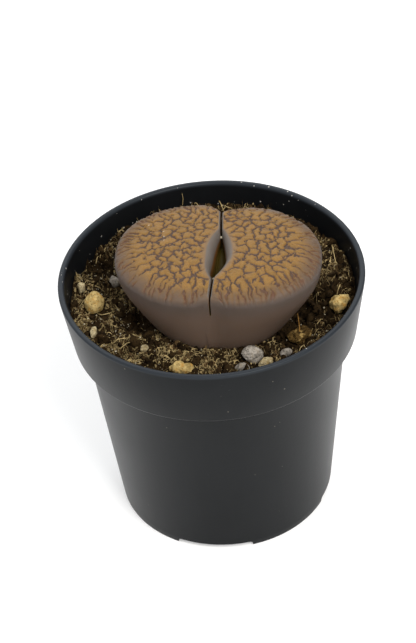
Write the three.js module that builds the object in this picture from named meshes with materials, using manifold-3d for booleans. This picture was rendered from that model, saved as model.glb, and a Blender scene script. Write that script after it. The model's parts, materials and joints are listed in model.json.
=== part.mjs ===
// A potted lithops: a fused pair of leaves with a sunken net on its faces, standing in peaty soil
// with loose stones, in a small round nursery pot.
// Millimetres, +Z up, origin at the centre of the pot's underside, front of the plant towards -Y.

import * as THREE from 'three';
import { mergeVertices } from 'three/addons/utils/BufferGeometryUtils.js';
import Module from 'manifold-3d';

const wasm = await Module();
wasm.setup();

// Pot
const POT_HEIGHT = 50;
const RIM_RADIUS = 27.5;
const COLLAR_Z = 38;
const COLLAR_RADIUS = 25.76;
const BODY_TOP_RADIUS = 23.88;
const BASE_RADIUS = 20.03;
const WALL = 1.1;
const FLOOR_UNDERSIDE = 1.3;
const FLOOR_THICKNESS = 1.0;
const FOOT_WIDTH = 1.8;
const ARCH_HEIGHT = 1.05;
const ARCH_WIDTH = 14;
const ARCH_COUNT = 4;
const ARCH_FIRST_ANGLE = THREE.MathUtils.degToRad(-99.5);
const DRAIN_HOLE_RADIUS = 2.4;
const DRAIN_HOLE_CIRCLE = 11.5;
const DRAIN_HOLE_SIDES = 20;
const POT_SIDES = 56;
const EDGE_ROUND = 0.25;
const LIP_ROUND = 0.5;
const COLLAR_STEP_DROP = 1.2;
const FLOOR_CORNER = 0.8;
const POT_COLOUR = 0x34383a;
const POT_ROUGHNESS = 0.42;

// Clearance between two pieces that touch
const GAP = 0.3;

// Soil
const SOIL_Z = 43.35;
const SOIL_GRID_STEP = 1.4;
const SOIL_BANK = 1.5;
const SOIL_CRUMB_SPACING = 2.6;
const SOIL_CRUMB_HEIGHT = 1.05;
const SOIL_SEED = 7;
const SOIL_COLOUR = 0x33281d;
const SOIL_ROUGHNESS = 0.95;

// Hollows and clumps of the soil: plan place, height, reach
const SOIL_MOUNDS = [
  [-11.5, -9, -1.7, 4],
  [15, -5, -1.2, 4.5],
  [3, -14.5, -0.6, 4],
  [-13.8, -12.4, 1.1, 3],
  [-3, -18, 0.4, 3.5],
];

// Plant: place and turn in the pot, then its leaf pair in its own frame, slit along Y
const PLANT_X = 1.45;
const PLANT_Y = -1.4;
const PLANT_TURN = THREE.MathUtils.degToRad(-6);
const FACE_RIM_Z = 56.2;
const FACE_DOME = 1.6;
const FACE_HALF_WIDTH = 17.2;
const FACE_HALF_DEPTH = 13.1;
const OUTLINE_POWER = 2.3;
const LOBE_SHEAR = -0.045;
const BACK_NOTCH = 2.4;
const FRONT_NOTCH = 0.8;
const PLANT_SIDES = 48;
const HOLE_SIDES = 28;
const PLANT_COLOUR = 0x8f7058;
const PLANT_ROUGHNESS = 0.62;

// Side of the leaf pair from the face's rim down to the root tip: half width, half depth, height
const SIDE_PROFILE = [
  [17.2, 13.1, 56.2],
  [17.9, 13.6, 55.6],
  [18.3, 13.8, 54.2],
  [17.7, 13.6, 51.6],
  [15.5, 13.0, 48.0],
  [12.6, 12.1, 44.0],
  [9.4, 9.6, 40.2],
  [5.4, 5.6, 36.0],
  [2.4, 2.4, 32.0],
  [1.5, 1.5, 25.0],
  [0.6, 0.6, 12.0],
];
const SIDE_RINGS = 20;
const HOLE_RINGS = 14;
const HOLE_FROM = 0.3;
const ROOT_TIP_POINT = 0.8;

// Sunken net on the faces
const NET_CELL = 1.95;
const NET_DEPTH = 0.42;
const NET_GROOVE_SHARE = 0.3;
const NET_JOINED_SHARE = 0.3;
const NET_RIM_RINGS = [[0.945, 56], [0.82, 42]];
const NET_TRIES = 6000;
const NET_ISLAND_CROWN = 0.06;
const NET_SHORTEST_LINE = 0.16;
const NET_SEED = 11;

// Slit and the eye that it opens to
const SLIT_HALF_WIDTH = 0.2;
const SLIT_FLOOR_Z = 52.2;
const SLIT_FRONT_X = -0.45;
const SLIT_BACK_X = 0.5;
const EYE_CENTRE = -2.3;
const EYE_INNER_HALF_LENGTH = 5.7;
const EYE_INNER_HALF_WIDTH = 1.0;
const EYE_LIP_HALF_LENGTH = 7.0;
const EYE_LIP_HALF_WIDTH = 2.4;
const EYE_LIP_BOTTOM_Z = 56.1;
const EYE_LIP_TOP_Z = 57.9;
const EYE_FLOOR_Z = 51.2;
const EYE_FLOOR_BULGE = 0.5;
const EYE_LIP_STEPS = 5;
const SLIT_REACH = 17;
const SLIT_STATIONS = 40;
const SLIT_TOP_Z = 61;

// Stones: place of the centre, half sizes, turn in degrees, colour
const STONES = [
  { name: 'stone_yellow_left', at: [-21.2, -0.5, 45.6], half: [1.8, 1.9, 2.0], turn: 20, colour: 0xc9ab6b },
  { name: 'stone_cream_back', at: [-23.6, 4.2, 45.6], half: [0.9, 0.9, 1.0], turn: 0, colour: 0xd6c8a4 },
  { name: 'stone_grey_left', at: [-17.5, 5.8, 45.1], half: [0.9, 1.0, 1.2], turn: 40, colour: 0x9b9894 },
  { name: 'stone_cream_sliver', at: [-21.5, -7.9, 45.2], half: [0.55, 1.6, 0.7], turn: -8, colour: 0xcabd92 },
  { name: 'stone_cream_small', at: [-12.7, -13.0, 45.0], half: [0.8, 0.6, 0.7], turn: 30, colour: 0xe4dcc4 },
  { name: 'stone_yellow_front', at: [-6.4, -18.4, 44.4], half: [2.0, 1.4, 1.5], turn: -15, colour: 0xd2b468 },
  { name: 'stone_pinkish_grey', at: [6.0, -16.8, 44.8], half: [1.8, 1.6, 1.9], turn: 10, colour: 0x9d918a },
  { name: 'stone_grey_low', at: [4.0, -19.2, 44.2], half: [1.4, 0.7, 0.9], turn: -20, colour: 0x807872 },
  { name: 'stone_cream_front', at: [8.3, -18.9, 44.7], half: [1.5, 0.8, 1.0], turn: 25, colour: 0xd3c78f },
  { name: 'stone_lavender_grey', at: [12.0, -16.5, 44.4], half: [1.0, 0.9, 1.0], turn: 50, colour: 0x8c8488 },
  { name: 'stone_yellow_right', at: [22.2, -6.0, 45.5], half: [1.6, 1.9, 2.1], turn: -25, colour: 0xc8b06e },
  { name: 'lump_brown', at: [14.4, -12.3, 44.3], half: [2.1, 1.3, 1.4], turn: 30, colour: 0x8a6a3c },
];
const STONE_DETAIL = 2;
const SMALL_STONE = 1.2;
const STONE_LUMPINESS = 0.16;
const STONE_WAVES = 4;
const STONE_SEED = 100;
const STONE_ROUGHNESS = 0.85;

function seededRandom(seed) {
  let state = seed;
  return () => {
    state = (state + 0x6d2b79f5) | 0;
    let mixed = Math.imul(state ^ (state >>> 15), 1 | state);
    mixed = (mixed + Math.imul(mixed ^ (mixed >>> 7), 61 | mixed)) ^ mixed;
    return ((mixed ^ (mixed >>> 14)) >>> 0) / 4294967296;
  };
}

function smoothstep(low, high, value) {
  return THREE.MathUtils.smoothstep(value, low, high);
}

// Solids: a closed geometry becomes a solid, and a solid becomes a named mesh

function solid(geometry) {
  const bare = geometry.clone();
  bare.deleteAttribute('normal');
  bare.deleteAttribute('uv');
  const merged = mergeVertices(bare, 1e-5);
  const vertProperties = new Float32Array(merged.attributes.position.array);
  const index = merged.index.array;
  const kept = [];
  for (let i = 0; i < index.length; i += 3) {
    const [a, b, c] = [index[i], index[i + 1], index[i + 2]];
    if (a !== b && b !== c && c !== a) {
      kept.push(a, b, c);
    }
  }
  if (signedVolume(vertProperties, kept) < 0) {
    kept.reverse();
  }
  const triVerts = new Uint32Array(kept);
  return new wasm.Manifold(new wasm.Mesh({ numProp: 3, vertProperties, triVerts }));
}

function signedVolume(positions, index) {
  const a = new THREE.Vector3();
  const b = new THREE.Vector3();
  const c = new THREE.Vector3();
  let volume = 0;
  for (let i = 0; i < index.length; i += 3) {
    a.fromArray(positions, index[i] * 3);
    b.fromArray(positions, index[i + 1] * 3);
    c.fromArray(positions, index[i + 2] * 3);
    volume += a.dot(b.cross(c)) / 6;
  }
  return volume;
}

function namedMesh(name, body, colour, roughness) {
  const mesh = body.getMesh();
  const geometry = new THREE.BufferGeometry();
  geometry.setAttribute('position', new THREE.BufferAttribute(mesh.vertProperties, 3));
  geometry.setIndex(new THREE.BufferAttribute(mesh.triVerts, 1));
  geometry.computeVertexNormals();
  const material = new THREE.MeshStandardMaterial({ color: colour, roughness, metalness: 0 });
  material.flatShading = true;
  const result = new THREE.Mesh(geometry, material);
  result.name = name;
  return result;
}

function geometryFrom(vertices, triangles) {
  const geometry = new THREE.BufferGeometry();
  const positions = vertices.flatMap((vertex) => vertex.toArray());
  geometry.setAttribute('position', new THREE.Float32BufferAttribute(positions, 3));
  geometry.setIndex(triangles);
  return geometry;
}

// A stack of rings with the same count of points, closed by a fan at each end
function loft(rings) {
  const vertices = rings.flat();
  const count = rings[0].length;
  const triangles = [];
  for (let ring = 0; ring < rings.length - 1; ring += 1) {
    for (let i = 0; i < count; i += 1) {
      const a = ring * count + i;
      const b = ring * count + ((i + 1) % count);
      triangles.push(a, b, b + count, a, b + count, a + count);
    }
  }
  for (const first of [0, (rings.length - 1) * count]) {
    const ring = vertices.slice(first, first + count);
    const centre = ring.reduce((sum, point) => sum.add(point), new THREE.Vector3()).divideScalar(count);
    const hub = vertices.push(centre) - 1;
    for (let i = 0; i < count; i += 1) {
      const a = first + i;
      const b = first + ((i + 1) % count);
      triangles.push(hub, ...(first === 0 ? [b, a] : [a, b]));
    }
  }
  return solid(geometryFrom(vertices, triangles));
}

function turned(profile) {
  const points = profile.map(([radius, height]) => new THREE.Vector2(radius, height));
  return solid(new THREE.LatheGeometry(points, POT_SIDES).rotateX(Math.PI / 2));
}

// Pot

function bodyRadius(z) {
  return THREE.MathUtils.mapLinear(z, 0, COLLAR_Z, BASE_RADIUS, BODY_TOP_RADIUS);
}

function collarRadius(z) {
  return THREE.MathUtils.mapLinear(z, COLLAR_Z, POT_HEIGHT, COLLAR_RADIUS, RIM_RADIUS);
}

// The hollow's wall from the floor up to a height, drawn in by a clearance
function hollowProfile(topZ, clearance) {
  const floorZ = FLOOR_UNDERSIDE + FLOOR_THICKNESS + clearance;
  const stepZ = COLLAR_Z + COLLAR_STEP_DROP;
  const inset = WALL + clearance;
  return [
    [bodyRadius(floorZ) - inset - FLOOR_CORNER, floorZ],
    [bodyRadius(floorZ) - inset, floorZ + FLOOR_CORNER],
    [BODY_TOP_RADIUS - inset, COLLAR_Z - LIP_ROUND],
    [collarRadius(stepZ) - inset, stepZ],
    [collarRadius(topZ) - inset, topZ],
  ];
}

function makePot() {
  const outside = [
    [0, FLOOR_UNDERSIDE],
    [BASE_RADIUS - FOOT_WIDTH - EDGE_ROUND, FLOOR_UNDERSIDE],
    [BASE_RADIUS - FOOT_WIDTH, 0],
    [BASE_RADIUS - EDGE_ROUND, 0],
    [BASE_RADIUS, EDGE_ROUND],
    [bodyRadius(COLLAR_Z - COLLAR_STEP_DROP), COLLAR_Z - COLLAR_STEP_DROP],
    [BODY_TOP_RADIUS + LIP_ROUND, COLLAR_Z - EDGE_ROUND],
    [COLLAR_RADIUS - LIP_ROUND, COLLAR_Z],
    [COLLAR_RADIUS - EDGE_ROUND / 2, COLLAR_Z + EDGE_ROUND],
    [collarRadius(COLLAR_Z + 2 * LIP_ROUND), COLLAR_Z + 2 * LIP_ROUND],
    [RIM_RADIUS, POT_HEIGHT - LIP_ROUND],
    [RIM_RADIUS - EDGE_ROUND, POT_HEIGHT - EDGE_ROUND / 3],
    [RIM_RADIUS - WALL / 2, POT_HEIGHT],
    [RIM_RADIUS - WALL + EDGE_ROUND, POT_HEIGHT - EDGE_ROUND / 3],
  ];
  const inside = hollowProfile(POT_HEIGHT - LIP_ROUND, 0).reverse();
  const axis = [[0, FLOOR_UNDERSIDE + FLOOR_THICKNESS]];
  let pot = turned([...outside, ...inside, ...axis]);
  for (let i = 0; i < ARCH_COUNT; i += 1) {
    const angle = ARCH_FIRST_ANGLE + (i * 2 * Math.PI) / ARCH_COUNT;
    pot = pot.subtract(solid(footArch().rotateZ(angle)));
    pot = pot.subtract(solid(drainHole().rotateZ(angle)));
  }
  return namedMesh('pot', pot, POT_COLOUR, POT_ROUGHNESS);
}

// The low arch that lets water out between two feet, lying along +X
function footArch() {
  const half = ARCH_WIDTH / 2;
  const arch = new THREE.Shape([
    new THREE.Vector2(-half, -1),
    new THREE.Vector2(half, -1),
    new THREE.Vector2(half - EDGE_ROUND, ARCH_HEIGHT - LIP_ROUND),
    new THREE.Vector2(half - FLOOR_CORNER, ARCH_HEIGHT),
    new THREE.Vector2(-half + FLOOR_CORNER, ARCH_HEIGHT),
    new THREE.Vector2(-half + EDGE_ROUND, ARCH_HEIGHT - LIP_ROUND),
  ]);
  const cutter = new THREE.ExtrudeGeometry(arch, { depth: 3 * FOOT_WIDTH, bevelEnabled: false });
  return cutter.rotateX(Math.PI / 2).rotateZ(Math.PI / 2).translate(BASE_RADIUS - 2 * FOOT_WIDTH, 0, 0);
}

function drainHole() {
  const hole = new THREE.CylinderGeometry(DRAIN_HOLE_RADIUS, DRAIN_HOLE_RADIUS, 6, DRAIN_HOLE_SIDES);
  return hole.rotateX(Math.PI / 2).translate(DRAIN_HOLE_CIRCLE, 0, FLOOR_UNDERSIDE);
}

// Leaf pair

// A point of the outline at an angle, for half sizes in width and depth, with its notches scaled
function outlinePoint(angle, halfWidth, halfDepth, power, notchScale) {
  const c = Math.cos(angle);
  const s = Math.sin(angle);
  const x = halfWidth * Math.sign(c) * Math.abs(c) ** (2 / power);
  const y = halfDepth * Math.sign(s) * Math.abs(s) ** (2 / power);
  return notched(x, y, halfDepth, notchScale);
}

// The lobes are sheared a little against each other and drawn in where the slit leaves the outline
function notched(x, y, halfDepth, notchScale) {
  const share = Math.abs(y / halfDepth) ** 3;
  const aside = x - slitX(y);
  const backReach = aside < 0 ? 1.3 : 3.4;
  const back = BACK_NOTCH * Math.exp(-Math.abs(aside) / backReach);
  const front = FRONT_NOTCH * Math.exp(-((aside / 2.6) ** 2));
  const pull = y > 0 ? -back : front;
  return new THREE.Vector2(x, y + LOBE_SHEAR * x * notchScale + pull * share * notchScale);
}

function faceRho(x, y) {
  const width = Math.abs(x / FACE_HALF_WIDTH) ** OUTLINE_POWER;
  const depth = Math.abs(y / FACE_HALF_DEPTH) ** OUTLINE_POWER;
  return (width + depth) ** (1 / OUTLINE_POWER);
}

// The slit's sideways place: it crosses over along the eye and drifts off towards both ends
function slitX(y) {
  const crossing = THREE.MathUtils.lerp(SLIT_FRONT_X, SLIT_BACK_X, smoothstep(-9, -2.5, y));
  return crossing - 0.08 * Math.max(0, -9.5 - y) - 0.04 * Math.max(0, y - 4);
}

function eyeShare(y, halfLength) {
  const along = (y - EYE_CENTRE) / halfLength;
  return Math.max(0, 1 - along * along) ** 0.9;
}

// How strongly the net is sunk: it fades at the rim and in the smooth band along the eye
function netStrength(x, y) {
  const rimFade = 1 - smoothstep(0.93, 1.0, faceRho(x, y));
  const lipEdge = EYE_LIP_HALF_WIDTH * eyeShare(y, EYE_LIP_HALF_LENGTH);
  const band = smoothstep(0.6, 1.8, Math.abs(x - slitX(y)) - lipEdge);
  const nearEye = smoothstep(0, 0.4, eyeShare(y, EYE_LIP_HALF_LENGTH + 1));
  return rimFade * THREE.MathUtils.lerp(1, band, nearEye);
}

function facePoint(x, y, sunk) {
  const rho = Math.min(1, faceRho(x, y));
  const height = FACE_RIM_Z + FACE_DOME * (1 - rho ** 2.4) - NET_DEPTH * sunk * netStrength(x, y);
  const place = notched(x, y, FACE_HALF_DEPTH, 1);
  return new THREE.Vector3(place.x, place.y, height);
}

// Sites of the net's islands: rings of slim ones along the rim, scattered round ones inside
function netSites(random) {
  const sites = [];
  for (const [rho, count] of NET_RIM_RINGS) {
    for (let i = 0; i < count; i += 1) {
      const angle = ((i + 0.5 * random()) * 2 * Math.PI) / count;
      const spread = rho * (1 - 0.05 * random());
      const c = Math.cos(angle);
      const s = Math.sin(angle);
      const norm = faceRho(c * FACE_HALF_WIDTH, s * FACE_HALF_DEPTH);
      sites.push([(c * FACE_HALF_WIDTH * spread) / norm, (s * FACE_HALF_DEPTH * spread) / norm]);
    }
  }
  const innerEdge = NET_RIM_RINGS.at(-1)[0] - 0.07;
  for (let attempt = 0; attempt < NET_TRIES; attempt += 1) {
    const x = (2 * random() - 1) * FACE_HALF_WIDTH;
    const y = (2 * random() - 1) * FACE_HALF_DEPTH;
    const free = sites.every(([sx, sy]) => Math.hypot(sx - x, sy - y) > NET_CELL * 0.86);
    if (faceRho(x, y) < innerEdge && free) {
      sites.push([x, y]);
    }
  }
  return sites;
}

// The part of a polygon that lies nearer to one site than to another
function nearerPart(polygon, site, other) {
  const nx = other[0] - site[0];
  const ny = other[1] - site[1];
  const limit = (nx * (site[0] + other[0]) + ny * (site[1] + other[1])) / 2;
  const kept = [];
  polygon.forEach((from, i) => {
    const to = polygon[(i + 1) % polygon.length];
    const a = nx * from[0] + ny * from[1] - limit;
    const b = nx * to[0] + ny * to[1] - limit;
    if (a <= 0) {
      kept.push(from);
    }
    if (a * b < 0) {
      const t = a / (a - b);
      kept.push([from[0] + (to[0] - from[0]) * t, from[1] + (to[1] - from[1]) * t]);
    }
  });
  return kept;
}

// Corners that several cells share get one number, and corners closer than a hair's width fall together
function cornerNumbering(cells) {
  const corners = [];
  const numbered = cells.map((cell) => cell.map((point) => {
    const known = corners.findIndex((c) => Math.hypot(c[0] - point[0], c[1] - point[1]) < 1e-6);
    return known >= 0 ? known : corners.push(point) - 1;
  }));
  const nearest = corners.map((point, i) => {
    const isNear = (c) => Math.hypot(c[0] - point[0], c[1] - point[1]) < NET_SHORTEST_LINE;
    const earlier = corners.findIndex(isNear);
    return earlier < i ? earlier : i;
  });
  const settled = nearest.map((n) => nearest[n]);
  const loops = numbered.map((cell) => {
    const loop = cell.map((n) => settled[n]);
    return loop.filter((n, i) => n !== loop[(i + 1) % loop.length]);
  });
  return { corners, loops };
}

// The two faces as one net of raised islands and sunken lines
function netSurface() {
  const random = seededRandom(NET_SEED);
  const sites = netSites(random);
  const rim = [];
  for (let i = 0; i < PLANT_SIDES; i += 1) {
    const angle = (i * 2 * Math.PI) / PLANT_SIDES;
    const point = outlinePoint(angle, FACE_HALF_WIDTH, FACE_HALF_DEPTH, OUTLINE_POWER, 0);
    rim.push([point.x, point.y]);
  }
  const cells = sites.map((site) => {
    const reach = NET_CELL * 4;
    const near = sites.filter((s) => s !== site && Math.hypot(s[0] - site[0], s[1] - site[1]) < reach);
    return near.reduce((polygon, other) => nearerPart(polygon, site, other), rim);
  });
  const { corners, loops } = cornerNumbering(cells);
  const vertices = corners.map(([x, y]) => facePoint(x, y, 1));
  const triangles = [];
  const bridges = new Map();

  function bridge(a, b) {
    const key = Math.min(a, b) * 10000 + Math.max(a, b);
    if (!bridges.has(key)) {
      const x = (corners[a][0] + corners[b][0]) / 2;
      const y = (corners[a][1] + corners[b][1]) / 2;
      const joined = random() < NET_JOINED_SHARE;
      bridges.set(key, joined ? vertices.push(facePoint(x, y, 0)) - 1 : -1);
    }
    return bridges.get(key);
  }

  for (const loop of loops.filter((numbers) => numbers.length > 2)) {
    const centreX = loop.reduce((sum, n) => sum + corners[n][0], 0) / loop.length;
    const centreY = loop.reduce((sum, n) => sum + corners[n][1], 0) / loop.length;
    const inner = loop.map((n) => {
      const x = THREE.MathUtils.lerp(corners[n][0], centreX, NET_GROOVE_SHARE);
      const y = THREE.MathUtils.lerp(corners[n][1], centreY, NET_GROOVE_SHARE);
      return vertices.push(facePoint(x, y, 0)) - 1;
    });
    const crown = facePoint(centreX, centreY, 0);
    crown.z += NET_ISLAND_CROWN;
    const hub = vertices.push(crown) - 1;
    loop.forEach((from, i) => {
      const next = (i + 1) % loop.length;
      const to = loop[next];
      const middle = bridge(from, to);
      triangles.push(hub, inner[i], inner[next]);
      if (middle < 0) {
        triangles.push(from, to, inner[next], from, inner[next], inner[i]);
      } else {
        triangles.push(from, middle, inner[i], middle, inner[next], inner[i], middle, to, inner[next]);
      }
    });
  }
  return { vertices, triangles };
}

// The open edge of a surface as one loop of vertex numbers
function openEdge(triangles) {
  const next = new Map();
  const used = new Set();
  for (let i = 0; i < triangles.length; i += 3) {
    for (let k = 0; k < 3; k += 1) {
      used.add(`${triangles[i + k]},${triangles[i + ((k + 1) % 3)]}`);
    }
  }
  for (const edge of used) {
    const [a, b] = edge.split(',');
    if (!used.has(`${b},${a}`)) {
      next.set(Number(a), Number(b));
    }
  }
  const start = next.keys().next().value;
  const loop = [start];
  for (let n = next.get(start); n !== start; n = next.get(n)) {
    loop.push(n);
  }
  return loop;
}

const sideCurve = new THREE.CatmullRomCurve3(SIDE_PROFILE.map((row) => new THREE.Vector3(...row)));

// Rings of the plant's side from one share of the profile to the root tip, widened by a clearance
function sideRings(from, count, sides, clearance) {
  const rings = [];
  for (let ring = 0; ring < count; ring += 1) {
    const level = sideCurve.getPoint(THREE.MathUtils.lerp(from, 1, ring / (count - 1)));
    const rounding = smoothstep(36, 44, level.z);
    const power = THREE.MathUtils.lerp(2, OUTLINE_POWER, rounding);
    const notchScale = smoothstep(40, 55, level.z);
    const points = [];
    for (let i = 0; i < sides; i += 1) {
      const angle = (i * 2 * Math.PI) / sides;
      const point = outlinePoint(angle, level.x + clearance, level.y + clearance, power, notchScale);
      points.push(new THREE.Vector3(point.x, point.y, level.z));
    }
    rings.push(points);
  }
  return rings;
}

// The band between the net's edge and the ring below it, which have different counts of points:
// each step goes along the side that lags behind
function stitchedBand(vertices, edge, first) {
  const bearing = (n) => (Math.atan2(vertices[n].y, vertices[n].x) + 2 * Math.PI) % (2 * Math.PI);
  const start = edge.reduce((best, n, i) => (bearing(n) < bearing(edge[best]) ? i : best), 0);
  const upper = [...edge.slice(start), ...edge.slice(0, start)];
  const upperBearing = (i) => (i < upper.length ? bearing(upper[i]) : 2 * Math.PI + bearing(upper[0]));
  const lowerBearing = (i) => (i < PLANT_SIDES ? bearing(first + i) : 2 * Math.PI);
  const triangles = [];
  let u = 0;
  let l = 0;
  while (u < upper.length || l < PLANT_SIDES) {
    const top = upper[u % upper.length];
    const bottom = first + (l % PLANT_SIDES);
    const topLags = u < upper.length && upperBearing(u + 1) <= lowerBearing(l + 1);
    if (l >= PLANT_SIDES || topLags) {
      u += 1;
      triangles.push(bottom, upper[u % upper.length], top);
    } else {
      l += 1;
      triangles.push(top, bottom, first + (l % PLANT_SIDES));
    }
  }
  return triangles;
}

// The whole plant before its slit is opened: net, rounded rim, side, neck and taproot
function grownBody() {
  const { vertices, triangles } = netSurface();
  const edge = openEdge(triangles);
  const rings = sideRings(0, SIDE_RINGS, PLANT_SIDES, 0).slice(1);
  const first = vertices.length;
  vertices.push(...rings.flat());
  triangles.push(...stitchedBand(vertices, edge, first));
  for (let ring = 0; ring < rings.length - 1; ring += 1) {
    for (let i = 0; i < PLANT_SIDES; i += 1) {
      const a = first + ring * PLANT_SIDES + i;
      const b = first + ring * PLANT_SIDES + ((i + 1) % PLANT_SIDES);
      triangles.push(a, b + PLANT_SIDES, b, a, a + PLANT_SIDES, b + PLANT_SIDES);
    }
  }
  const last = first + (rings.length - 1) * PLANT_SIDES;
  const tip = vertices.push(new THREE.Vector3(0, 0, SIDE_PROFILE.at(-1)[2] - ROOT_TIP_POINT)) - 1;
  for (let i = 0; i < PLANT_SIDES; i += 1) {
    triangles.push(tip, last + ((i + 1) % PLANT_SIDES), last + i);
  }
  return solid(geometryFrom(vertices, triangles));
}

// The space of the slit and of the eye: an upright section at each station along the slit
function slitSpace() {
  const heights = [SLIT_TOP_Z];
  for (let step = 0; step <= EYE_LIP_STEPS; step += 1) {
    heights.push(THREE.MathUtils.lerp(EYE_LIP_TOP_Z, EYE_LIP_BOTTOM_Z, step / EYE_LIP_STEPS));
  }
  const sections = [];
  for (let i = 0; i <= SLIT_STATIONS; i += 1) {
    const y = THREE.MathUtils.lerp(-SLIT_REACH, SLIT_REACH, i / SLIT_STATIONS);
    const inner = SLIT_HALF_WIDTH + EYE_INNER_HALF_WIDTH * eyeShare(y, EYE_INNER_HALF_LENGTH);
    const lip = SLIT_HALF_WIDTH + EYE_LIP_HALF_WIDTH * eyeShare(y, EYE_LIP_HALF_LENGTH);
    const depth = smoothstep(0, 0.7, eyeShare(y, EYE_INNER_HALF_LENGTH));
    const floor = THREE.MathUtils.lerp(SLIT_FLOOR_Z, EYE_FLOOR_Z, depth);
    const side = heights.map((z) => {
      const flare = smoothstep(EYE_LIP_BOTTOM_Z, EYE_LIP_TOP_Z, z);
      return [THREE.MathUtils.lerp(inner, lip, flare), z];
    });
    side.push([inner * 0.75, floor + 0.1]);
    const left = side.map(([half, z]) => new THREE.Vector3(slitX(y) - half, y, z));
    const right = side.map(([half, z]) => new THREE.Vector3(slitX(y) + half, y, z)).reverse();
    const middle = new THREE.Vector3(slitX(y), y, floor + EYE_FLOOR_BULGE * depth);
    sections.push([...left, middle, ...right]);
  }
  return loft(sections);
}

function placed(body) {
  const matrix = new THREE.Matrix4().makeRotationZ(PLANT_TURN).setPosition(PLANT_X, PLANT_Y, 0);
  return body.transform(matrix.elements);
}

function makePlant() {
  const body = placed(grownBody().subtract(slitSpace()));
  return namedMesh('lithops_plant', body, PLANT_COLOUR, PLANT_ROUGHNESS);
}

function plantHole() {
  const rings = sideRings(HOLE_FROM, HOLE_RINGS, HOLE_SIDES, GAP);
  const bottomZ = SIDE_PROFILE.at(-1)[2] - ROOT_TIP_POINT - GAP;
  rings.push(rings.at(-1).map((point) => new THREE.Vector3(point.x, point.y, bottomZ)));
  return placed(loft(rings));
}

// Stones

function stoneSolid(stone, number, clearance) {
  const random = seededRandom(STONE_SEED + number);
  const detail = Math.max(...stone.half) > SMALL_STONE ? STONE_DETAIL : STONE_DETAIL - 1;
  const geometry = new THREE.IcosahedronGeometry(1, detail);
  const waves = Array.from({ length: STONE_WAVES }, () => ({
    axis: new THREE.Vector3(random() - 0.5, random() - 0.5, random() - 0.5).normalize(),
    pitch: 2.2 + 2.6 * random(),
    phase: 6.3 * random(),
  }));
  const position = geometry.attributes.position;
  const point = new THREE.Vector3();
  for (let i = 0; i < position.count; i += 1) {
    point.fromBufferAttribute(position, i);
    const swell = waves.reduce((sum, w) => sum + Math.sin(point.dot(w.axis) * w.pitch + w.phase), 0);
    point.multiplyScalar(1 + (STONE_LUMPINESS * swell) / STONE_WAVES);
    const [hx, hy, hz] = stone.half.map((half) => half + clearance);
    position.setXYZ(i, point.x * hx, point.y * hy, point.z * hz);
  }
  geometry.rotateZ(THREE.MathUtils.degToRad(stone.turn)).translate(...stone.at);
  return solid(geometry);
}

// Soil

function cellRandom(column, row, channel) {
  const wave = Math.sin(column * 127.1 + row * 311.7 + channel * 74.7) * 43758.5453;
  return wave - Math.floor(wave);
}

// Rounded crumbs of many sizes that cover the surface
function crumbHeight(x, y) {
  const column = Math.floor(x / SOIL_CRUMB_SPACING);
  const row = Math.floor(y / SOIL_CRUMB_SPACING);
  let height = 0;
  for (let i = column - 1; i <= column + 1; i += 1) {
    for (let j = row - 1; j <= row + 1; j += 1) {
      const centreX = (i + cellRandom(i, j, 0)) * SOIL_CRUMB_SPACING;
      const centreY = (j + cellRandom(i, j, 1)) * SOIL_CRUMB_SPACING;
      const radius = SOIL_CRUMB_SPACING * (0.45 + 0.4 * cellRandom(i, j, 2));
      const distance = Math.hypot(x - centreX, y - centreY) / radius;
      const rise = SOIL_CRUMB_HEIGHT * (0.35 + 0.65 * cellRandom(i, j, 3));
      height = Math.max(height, rise * Math.sqrt(Math.max(0, 1 - distance * distance)));
    }
  }
  return height;
}

function soilHeight(x, y) {
  const mounds = SOIL_MOUNDS.reduce((sum, [centreX, centreY, height, reach]) => {
    const distance = Math.hypot(x - centreX, y - centreY) / reach;
    return sum + height * Math.exp(-distance * distance);
  }, 0);
  const banked = smoothstep(14, 25, Math.hypot(x, y)) * smoothstep(-16, 6, y);
  return SOIL_Z + mounds + SOIL_BANK * banked + crumbHeight(x, y);
}

function makeSoil(stones) {
  const random = seededRandom(SOIL_SEED);
  const reach = RIM_RADIUS;
  const steps = Math.ceil((2 * reach) / SOIL_GRID_STEP);
  const top = [];
  for (let row = 0; row <= steps; row += 1) {
    for (let column = 0; column <= steps; column += 1) {
      const inside = row > 0 && row < steps && column > 0 && column < steps;
      const jitter = inside ? SOIL_GRID_STEP * 0.5 : 0;
      const x = -reach + (2 * reach * column) / steps + (random() - 0.5) * jitter;
      const y = -reach + (2 * reach * row) / steps + (random() - 0.5) * jitter;
      top.push(new THREE.Vector3(x, y, soilHeight(x, y)));
    }
  }
  const width = steps + 1;
  const triangles = [];
  for (let row = 0; row < steps; row += 1) {
    for (let column = 0; column < steps; column += 1) {
      const a = row * width + column;
      if ((row + column) % 2) {
        triangles.push(a, a + 1, a + width + 1, a, a + width + 1, a + width);
      } else {
        triangles.push(a, a + 1, a + width, a + 1, a + width + 1, a + width);
      }
    }
  }
  const edge = openEdge(triangles);
  const vertices = [...top];
  const below = edge.map((n) => vertices.push(new THREE.Vector3(top[n].x, top[n].y, 0)) - 1);
  const hub = vertices.push(new THREE.Vector3(0, 0, 0)) - 1;
  edge.forEach((n, i) => {
    const next = (i + 1) % edge.length;
    triangles.push(edge[next], n, below[i], edge[next], below[i], below[next]);
    triangles.push(hub, below[next], below[i]);
  });
  const block = solid(geometryFrom(vertices, triangles));

  const wall = hollowProfile(POT_HEIGHT - 2, GAP);
  const filling = turned([[0, wall[0][1]], ...wall, [0, POT_HEIGHT - 2]]);
  let soil = block.intersect(filling).subtract(plantHole());
  stones.forEach((stone, i) => {
    soil = soil.subtract(stoneSolid(stone, i, GAP));
  });
  const pieces = soil.decompose().sort((a, b) => b.volume() - a.volume());
  return namedMesh('soil', pieces[0], SOIL_COLOUR, SOIL_ROUGHNESS);
}

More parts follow.
